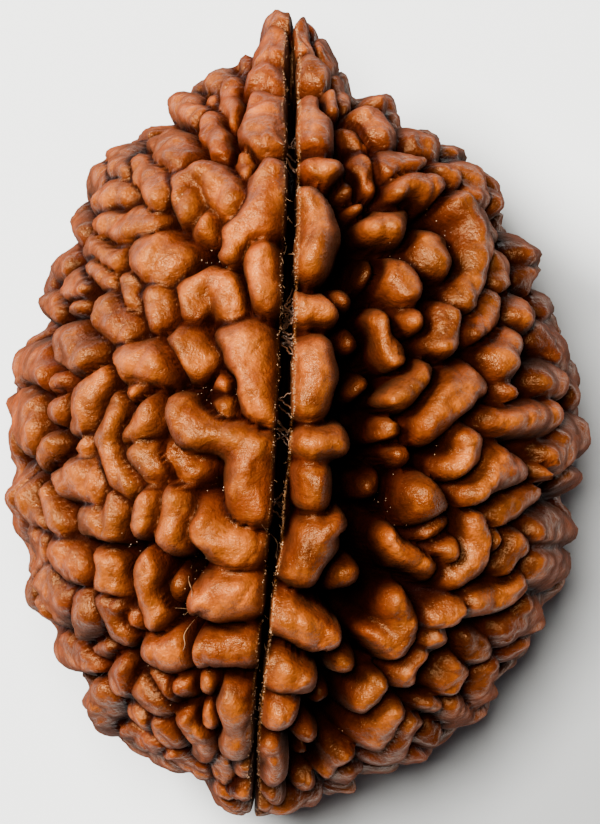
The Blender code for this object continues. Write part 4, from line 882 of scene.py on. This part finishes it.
crumbPiece = {
    "cleftCount": 900,
    "sides": (0.3, 0.7),        # share on the left lip and on the right one
    "span": (-13.5, 13.4),
    "limits": (-13.5, 13.5),
    "inset": (0.07, 0.18),
    "cleftSize": (0.012, 0.034),
    "looseShare": 0.45,         # of them that lie anywhere
    "clumps": 60,               # the rest gather round this many spots of the cleft
    "clumpLength": 0.45,
    "pitCount": 40,
    "pitSpread": 0.5,           # in radii of the pit
    "pitSize": (0.015, 0.03),
    "seed": 11,
}


def makeCrumbs():
    # Grains of torn husk: most in clumps along both edges of the cleft, the rest down in the pits
    form, rng = crumbPiece, np.random.default_rng(crumbPiece["seed"])
    count, lips = form["cleftCount"], [-1.0, 1.0]
    clumps = rng.uniform(*form["span"], form["clumps"])
    clumpSides = rng.choice(lips, form["clumps"], p=form["sides"])
    pick = rng.integers(0, form["clumps"], count)
    loose = rng.random(count) < form["looseShare"]
    y = np.where(loose, rng.uniform(*form["span"], count),
                 clumps[pick] + form["clumpLength"] * rng.normal(size=count)).clip(*form["limits"])
    side = np.where(loose, rng.choice(lips, count, p=form["sides"]), clumpSides[pick])
    edge, _ = cleftEdge(y, side, rng.uniform(*form["inset"], count))
    pits = np.array(reliefForm["pits"])[rng.integers(0, len(reliefForm["pits"]), form["pitCount"])]
    away = form["pitSpread"] * pits[:, 2:3] * rng.normal(size=(len(pits), 2))
    low, _ = surfaceAt(pits[:, 0] + away[:, 0], pits[:, 1] + away[:, 1])
    sizes = np.concatenate([rng.uniform(*form["cleftSize"], count), rng.uniform(*form["pitSize"], len(low))])
    return rideStone("husk_crumbs", *grains(np.concatenate([edge, low]), sizes, rng))


# Pale glossy specks in the crevices: painted glints
glintPiece = {
    "tries": 1000,
    "places": [(-3.6, 0.6), (-3.0, 0.4), (-2.4, 0.0), (-3.0, -2.8), (-4.2, -2.7), (-5.7, -1.6), (-3.5, -5.4),
               (-6.2, -4.7), (-3.0, 5.3), (-4.0, -6.8), (5.8, 6.5), (6.2, -1.2), (4.3, 5.3), (2.3, 7.6),
               (-3.3, 9.8), (-2.6, 7.9), (-5.0, 3.4), (5.4, 3.0), (3.6, -3.2), (-4.6, -9.0)],
    "spread": 0.42,
    "rise": (0.12, 0.55),   # kept only between these shares of a lobe's rise,
    "clearance": 0.1,       # and this far from the mouth of the cleft
    "lift": 0.005,
    "size": (0.008, 0.023),
    "seed": 19,
}


def makeGlints():
    # Glassy specks of dried oil, pale as a painted glint, scattered round each place and kept where the
    # surface is low
    form, rng = glintPiece, np.random.default_rng(glintPiece["seed"])
    places = np.array(form["places"])[rng.integers(0, len(form["places"]), form["tries"])]
    x, y = (places + form["spread"] * rng.normal(size=places.shape)).T
    points, outward, relief = stoneSurface(*onFront(x, y))
    low, high = form["rise"]
    kept = (relief["dome"] > low) & (relief["dome"] < high) & (relief["mouth"] > form["clearance"])
    centres = points[kept] + form["lift"] * outward[kept]
    return rideStone("crevice_glints", *grains(centres, rng.uniform(*form["size"], len(centres)), rng))


threadPiece = {
    # Loose threads by the points they pass over, and how high each point stands above the surface
    "paths": [
        [(-1.15, -3.75, 0.02), (-0.95, -4.0, 0.1), (-0.7, -4.25, 0.12), (-0.62, -4.6, 0.1),
         (-0.7, -4.9, 0.02)],
        [(-3.42, -5.1, 0.02), (-3.46, -5.5, 0.14), (-3.4, -5.9, 0.1), (-3.5, -6.2, 0.02)],
        [(-3.72, -7.1, 0.02), (-3.85, -7.5, 0.12), (-3.8, -7.9, 0.1), (-3.95, -8.3, 0.02)],
        [(-4.35, -6.75, 0.02), (-4.1, -6.95, 0.12), (-3.85, -6.9, 0.02)],
        [(-0.62, 9.2, 0.02), (-0.4, 9.05, 0.12), (-0.2, 9.2, 0.04)],
        [(-0.55, 5.15, 0.02), (-0.38, 5.4, 0.1), (-0.3, 5.7, 0.02)],
    ],
    "radius": 0.015,
    "ends": 0.4,      # what is left of the radius at both ends
    "steps": 16,
}


def makeThreads():
    # Each thread is a smooth tube through its points, each raised by its height along the way outwards
    threads = []
    for path in threadPiece["paths"]:
        x, y, high = np.array(path).T
        spots, outward = surfaceAt(x, y)
        threads.append(smoothTube(spots + high[:, None] * outward, threadPiece))
    paths, radii = zip(*threads)
    return rideStone("loose_threads", *tubes(np.array(paths), np.array(radii), sides=6))


bridgePiece = {
    "spans": [(3.75, 2.35, 26), (9.4, 8.9, 5), (-2.6, -3.3, 5), (0.9, -1.2, 8)],     # from y to y, how many
    "inset": 0.05,             # mm from the mouth's edge
    "slant": 0.35,             # mm that the far end strays along the cleft
    "sink": (0.05, 0.32),
    "rough": 0.02,
    "radius": (0.018, 0.045),
    "steps": 8,
    "seed": 5,
}


def makeBridge():
    # Brown fibres left across the cleft: a straight line from lip to lip, less a parabola that sags into it
    form, rng = bridgePiece, np.random.default_rng(bridgePiece["seed"])
    y = np.concatenate([rng.uniform(low, high, count) for high, low, count in form["spans"]])
    count = len(y)
    lip, inset = np.ones(count), np.full(count, form["inset"])
    left, outward = cleftEdge(y, -lip, inset)
    right, _ = cleftEdge(y + form["slant"] * rng.normal(size=count), lip, inset)
    way = np.linspace(0, 1, form["steps"])[None, :, None]
    sink = rng.uniform(*form["sink"], (count, 1, 1))
    paths = left[:, None] + way * (right - left)[:, None] - 4 * sink * way * (1 - way) * outward[:, None]
    paths += form["rough"] * rng.normal(size=paths.shape)
    radii = rng.uniform(*form["radius"], (count, 1)) * np.ones(form["steps"])
    return rideStone("cleft_fibres", *tubes(paths, radii))


strandPiece = {
    # y, share of the mouth's width from its left edge, how far below the lips
    "rows": [(2.3, 0.30, 0.35), (1.2, 0.25, 0.30), (0.2, 0.35, 0.40), (-0.8, 0.5, 0.32), (-1.9, 0.45, 0.42),
             (-3.0, 0.6, 0.55)],
    "radius": 0.032,
    "ends": 0.5,
    "steps": 24,
}


def makeStrand():
    # One pale strand down the inside of the cleft: a smooth tube through points that are each a share
    # of the way from lip to lip, lowered into it
    y, share, low = np.array(strandPiece["rows"]).T
    lip, inset = np.ones(len(y)), np.zeros(len(y))
    left, outward = cleftEdge(y, -lip, inset)
    right, _ = cleftEdge(y, lip, inset)
    spots = left + share[:, None] * (right - left) - low[:, None] * outward
    path, radii = smoothTube(spots, strandPiece)
    return rideStone("cleft_strand", *tubes(path[None], radii[None], sides=6))


fringe, crumbs, threads, bridge = makeFringe(), makeCrumbs(), makeThreads(), makeBridge()
strand, glints = makeStrand(), makeGlints()


# Materials


def newMaterial(name):
    material = bpy.data.materials.new(name)
    material.use_nodes = True
    return material, material.node_tree, material.node_tree.nodes["Principled BSDF"]


def addNode(tree, kind, inputs=(), **settings):
    # A node with its settings, whose inputs are values or other nodes' outputs
    node = tree.nodes.new(kind)
    for key, value in settings.items():
        setattr(node, key, value)
    for socket, value in dict(inputs).items():
        if isinstance(value, bpy.types.NodeSocket):
            tree.links.new(value, node.inputs[socket])
        else:
            node.inputs[socket].default_value = value
    return node


def noiseOf(tree, place, size, detail, roughness):
    # Noise with features of this many millimetres
    values = {"Vector": place, "Scale": 1 / (size * mm), "Detail": detail, "Roughness": roughness}
    return addNode(tree, "ShaderNodeTexNoise", values).outputs["Fac"]


def rampOf(tree, value, stops):
    ramp = addNode(tree, "ShaderNodeValToRGB", {"Fac": value})
    elements = ramp.color_ramp.elements
    while len(elements) < len(stops):
        elements.new(0.5)
    for element, (position, colour) in zip(elements, stops):
        element.position = position
        element.color = (*colour, 1)
    return ramp.outputs["Color"]


def mathOf(tree, operation, a, b):
    return addNode(tree, "ShaderNodeMath", {0: a, 1: b}, operation=operation).outputs[0]


def rangeOf(tree, value, low, high, newLow, newHigh):
    values = {"Value": value, "From Min": low, "From Max": high, "To Min": newLow, "To Max": newHigh}
    return addNode(tree, "ShaderNodeMapRange", values).outputs["Result"]


def mixOf(tree, share, a, b, blend="MIX"):
    node = addNode(tree, "ShaderNodeMix", data_type="RGBA", blend_type=blend)
    for socket, value in zip((node.inputs[0], node.inputs[6], node.inputs[7]), (share, a, b)):
        if isinstance(value, bpy.types.NodeSocket):
            tree.links.new(value, socket)
        else:
            socket.default_value = value if socket == node.inputs[0] else (*value, 1)
    return node.outputs[2]


def shadedOf(tree, colour, share):
    # The colour times this share of it
    grey = addNode(tree, "ShaderNodeCombineColor", {0: share, 1: share, 2: share}).outputs[0]
    return mixOf(tree, 1.0, colour, grey, "MULTIPLY")


def bumpOf(tree, height, deep, **under):
    # Shading raised by the height, which stands for this many millimetres in full
    return addNode(tree, "ShaderNodeBump", {"Height": height, "Distance": deep * mm, **under}).outputs[0]


def attributeOf(tree, name):
    return addNode(tree, "ShaderNodeAttribute", attribute_name=name).outputs["Fac"]


shellFinish = {
    "paintedShadeByHeight": [
        # painted shade: darkest on a crevice's floor, lightest on a lobe's crest
        (0.0, (0.0040, 0.0008, 0.0006)),
        (0.35, (0.011, 0.0020, 0.0006)),
        (0.60, (0.032, 0.0058, 0.0008)),
        (0.84, (0.078, 0.0170, 0.0022)),
        (1.0, (0.155, 0.037, 0.0030)),
    ],
    "redPatch": (0.052, 0.0072, 0.0008),
    "palePatch": (0.19, 0.052, 0.006),
    "tornHusk": (0.26, 0.13, 0.055),
    # painted shade on the flanks of the belt
    "beltPaintedShade": (0.66, 0.44, 0.26),
    "beltRoughness": 1.0,
    "specular": 0.28,
    "specularTint": (1.0, 0.56, 0.27),
    "grainDepth": 0.045,     # mm
    "wrinkleDepth": 0.07,
    "noises": {
        # size in mm, detail, roughness
        "patches": (2.6, 3.0, 0.55),
        "mottle": (1.1, 4.0, 0.62),
        "spots": (0.7, 3.0, 0.6),
        "satin": (0.5, 3.0, 0.65),
        "wrinkles": (0.34, 4.0, 0.62),
        "grain": (0.13, 3.0, 0.6),
        "torn": (0.08, 2.0, 0.6),
    },
    "ranges": {
        # low and high of a noise or an attribute, and what each stands for
        "spotLift": (0.3, 0.7, -0.07, 0.07),
        # crease, seam and height darken creases, seams between ridges and deep hollows as painted shade
        "crease": (0.0, 0.5, 0.42, 1.0),
        "seam": (0.0, 0.26, 0.12, 1.0),
        "height": (-2.2, -0.4, 0.3, 1.0),
        "redPatches": (0.47, 0.62, 0.0, 0.75),
        "paleSpots": (0.5, 0.68, 0.0, 0.45),
        "paleCrests": (0.8, 1.0, 0.0, 1.0),
        "tint": (0.0, 1.0, 0.78, 1.18),
        "mottle": (0.35, 0.65, 0.62, 1.24),
        "grain": (0.3, 0.7, 0.82, 1.16),
        # painted shade inside the mouth of the cleft
        "mouth": (-0.06, 0.12, 0.06, 1.0),
        "lips": (0.1, 1.7, 1.30, 1.0),       # both clefts' lips are painted lighter: painted light on the raised lips
        "torn": (0.46, 0.58, 0.0, 1.0),
        "satin": (0.3, 0.7, 0.20, 0.40),     # to roughness, as the next
        "wetCrevices": (0.25, 0.6, 0.14, 1.0),
        # painted shade on reflections in crevices, to the specular tint
        "paintedShadeOnReflection": (0.3, 0.75, 0.0, 1.0),
    },
}


def shellMaterial():
    # Colour by the height on a lobe, from crevice to crest, sunk by creases, seams and depth, is painted
    # shade. Then patches, spots and grain of noise, painted shade in the mouth of the cleft, painted light
    # on the lips, torn husk and painted shade on the belt.
    finish = shellFinish
    material, tree, shader = newMaterial("oiled_shell")
    place = addNode(tree, "ShaderNodeTexCoord").outputs["Object"]
    noise = {name: noiseOf(tree, place, *row) for name, row in finish["noises"].items()}
    dome, mouth, belt = (attributeOf(tree, name) for name in ("dome", "mouth", "belt"))

    def ranged(value, name):
        return rangeOf(tree, value, *finish["ranges"][name])

    def times(a, b):
        return mathOf(tree, "MULTIPLY", a, b)

    # sunk is the painted shade: the share of the crest's colour, low in crevices, creases, seams and deep
    # hollows
    sunk = mathOf(tree, "ADD", dome, ranged(noise["spots"], "spotLift"))
    for name in ("crease", "seam", "height"):
        sunk = times(sunk, ranged(attributeOf(tree, name), name))
    colour = rampOf(tree, sunk, finish["paintedShadeByHeight"])
    redness = times(ranged(noise["patches"], "redPatches"), sunk)
    colour = mixOf(tree, redness, colour, finish["redPatch"])
    paleness = times(ranged(noise["spots"], "paleSpots"), ranged(sunk, "paleCrests"))
    colour = mixOf(tree, paleness, colour, finish["palePatch"])
    shade = times(ranged(attributeOf(tree, "tint"), "tint"), ranged(noise["mottle"], "mottle"))
    colour = shadedOf(tree, colour, times(shade, ranged(noise["grain"], "grain")))
    # painted shade darkens the mouth of the cleft, and painted light brightens the lips
    colour = shadedOf(tree, colour, times(ranged(mouth, "mouth"), ranged(mouth, "lips")))
    torn = times(attributeOf(tree, "husk"), ranged(noise["torn"], "torn"))
    colour = mixOf(tree, torn, colour, finish["tornHusk"])
    # painted shade on the belt of flanks
    colour = mixOf(tree, belt, colour, mixOf(tree, 1.0, colour, finish["beltPaintedShade"], "MULTIPLY"))
    tree.links.new(colour, shader.inputs["Base Color"])
    gloss = mathOf(tree, "MINIMUM", ranged(noise["satin"], "satin"), ranged(dome, "wetCrevices"))
    dry = times(belt, finish["beltRoughness"])
    tree.links.new(mathOf(tree, "MAXIMUM", gloss, dry), shader.inputs["Roughness"])
    shader.inputs["Specular IOR Level"].default_value = finish["specular"]
    # painted shade on the reflections: the specular tint goes black in crevices
    specular = mixOf(tree, ranged(sunk, "paintedShadeOnReflection"), (0.0, 0.0, 0.0), finish["specularTint"])
    tree.links.new(specular, shader.inputs["Specular Tint"])
    fine = bumpOf(tree, noise["grain"], finish["grainDepth"])
    coarse = bumpOf(tree, noise["wrinkles"], finish["wrinkleDepth"], Normal=fine)
    tree.links.new(coarse, shader.inputs["Normal"])
    return material


fibreFinish = {
    "kinds": {
        # dark and light colour of each kind, and its roughness
        "pale": ((0.06, 0.022, 0.008), (0.27, 0.15, 0.075), 0.6),
        "brown": ((0.012, 0.004, 0.0015), (0.07, 0.026, 0.010), 0.5),
        "grey": ((0.05, 0.035, 0.025), (0.24, 0.19, 0.16), 0.35),
        # the glassy specks' pale colour is a painted glint
        "paintedGlint": ((0.10, 0.045, 0.02), (0.38, 0.27, 0.20), 0.10),
    },
    "blend": (0.45, 3.0, 0.6),       # noise: size in mm, detail, roughness
    "blendRange": (0.35, 0.65, 0.0, 1.0),
    "fuzz": (0.06, 2.0, 0.5),
    "fuzzDepth": 0.01,
}


def fibreMaterial(name, kind):
    # Dry torn fibre: two colours blended by noise, and a faint fuzz
    finish = fibreFinish
    material, tree, shader = newMaterial(name)
    dark, light, roughness = finish["kinds"][kind]
    place = addNode(tree, "ShaderNodeTexCoord").outputs["Object"]
    blend = rangeOf(tree, noiseOf(tree, place, *finish["blend"]), *finish["blendRange"])
    tree.links.new(mixOf(tree, blend, dark, light), shader.inputs["Base Color"])
    fuzz = bumpOf(tree, noiseOf(tree, place, *finish["fuzz"]), finish["fuzzDepth"])
    tree.links.new(fuzz, shader.inputs["Normal"])
    shader.inputs["Roughness"].default_value = roughness
    return material


stone.data.materials.append(shellMaterial())
pale, brown, grey = (fibreMaterial(kind + "_fibre", kind) for kind in ("pale", "brown", "grey"))
paintedGlint = fibreMaterial("painted_glint_oil", "paintedGlint")
for piece, material in ((fringe, pale), (crumbs, pale), (threads, pale), (bridge, brown), (strand, grey),
                        (glints, paintedGlint)):
    piece.data.materials.append(material)
print("finishes done")


# Floor, light and camera

studio = {
    "floorSize": 0.6,
    "floorDrop": 0.02,       # mm below the stone, so that they don't meet
    "floorRoughness": 0.9,
    "floorColour": (0.56, 0.63, 0.75, 1),     # answers the light's warmth, and so looks white
    "lightColour": (1.0, 0.89, 0.72),
    "worldColour": (1.0, 0.95, 0.9, 1),
    "worldStrength": 0.05,
    "lamps": {
        # place and size in metres, power in watts
        "key": ((-0.17, 0.12, 0.24), 0.10, 5.6),
        "top": ((-0.04, 0.05, 0.36), 0.12, 3.2),
    },
    "pixelsPerMm": 29.0,     # the photograph's scale, with the stone at its real size
    "imageHeight": 824,
    "imageMiddle": (4, 1),   # pixels from the stone's middle to the picture's
    "lens": 300.0,
    "sensorHeight": 24.0,
    "clip": (0.01, 10.0),    # metres that the camera sees between
}


def addLamp(name, place, size, power):
    # A round area lamp that faces the stone's middle
    light = bpy.data.lights.new(name, "AREA")
    light.shape, light.size, light.energy = "DISK", size, power
    light.color = studio["lightColour"]
    lamp = bpy.data.objects.new(name, light)
    lamp.location = place
    towards = np.array([0, 0, stoneForm["axisHeight"] * mm]) - np.array(place)
    lamp.rotation_euler = mathutils.Vector(towards).to_track_quat("-Z", "Y").to_euler()
    bpy.context.scene.collection.objects.link(lamp)


def addFloor():
    half = studio["floorSize"] / 2
    corners = np.array([(-half, -half, 0), (half, -half, 0), (half, half, 0), (-half, half, 0)])
    corners = corners - [0, 0, studio["floorDrop"] * mm]
    floor = addMesh("floor", corners, [(0, 1, 2, 3)], smooth=False)
    material, _, shader = newMaterial("paper_floor")
    shader.inputs["Base Color"].default_value = studio["floorColour"]
    shader.inputs["Roughness"].default_value = studio["floorRoughness"]
    floor.data.materials.append(material)


def addCamera():
    # Straight above the stone, so far away that the photograph's height fills the picture
    camera = bpy.data.cameras.new("camera")
    camera.sensor_fit = "VERTICAL"
    camera.sensor_height, camera.lens = studio["sensorHeight"], studio["lens"]
    camera.clip_start, camera.clip_end = studio["clip"]
    viewHeight = studio["imageHeight"] / studio["pixelsPerMm"]
    distance = viewHeight * studio["lens"] / studio["sensorHeight"]
    x, y = (pixels / studio["pixelsPerMm"] for pixels in studio["imageMiddle"])
    view = bpy.data.objects.new("camera", camera)
    view.location = ((x - stoneForm["middleX"]) * mm, (y - stoneForm["middleY"]) * mm,
                     (stoneForm["axisHeight"] + distance) * mm)
    bpy.context.scene.collection.objects.link(view)
    bpy.context.scene.camera = view


world = bpy.data.worlds.new("studio")
bpy.context.scene.world = world
world.use_nodes = True
background = world.node_tree.nodes["Background"].inputs
background["Color"].default_value = studio["worldColour"]
background["Strength"].default_value = studio["worldStrength"]
for name, lamp in studio["lamps"].items():
    addLamp(name, *lamp)
addFloor()
addCamera()
print("studio done")
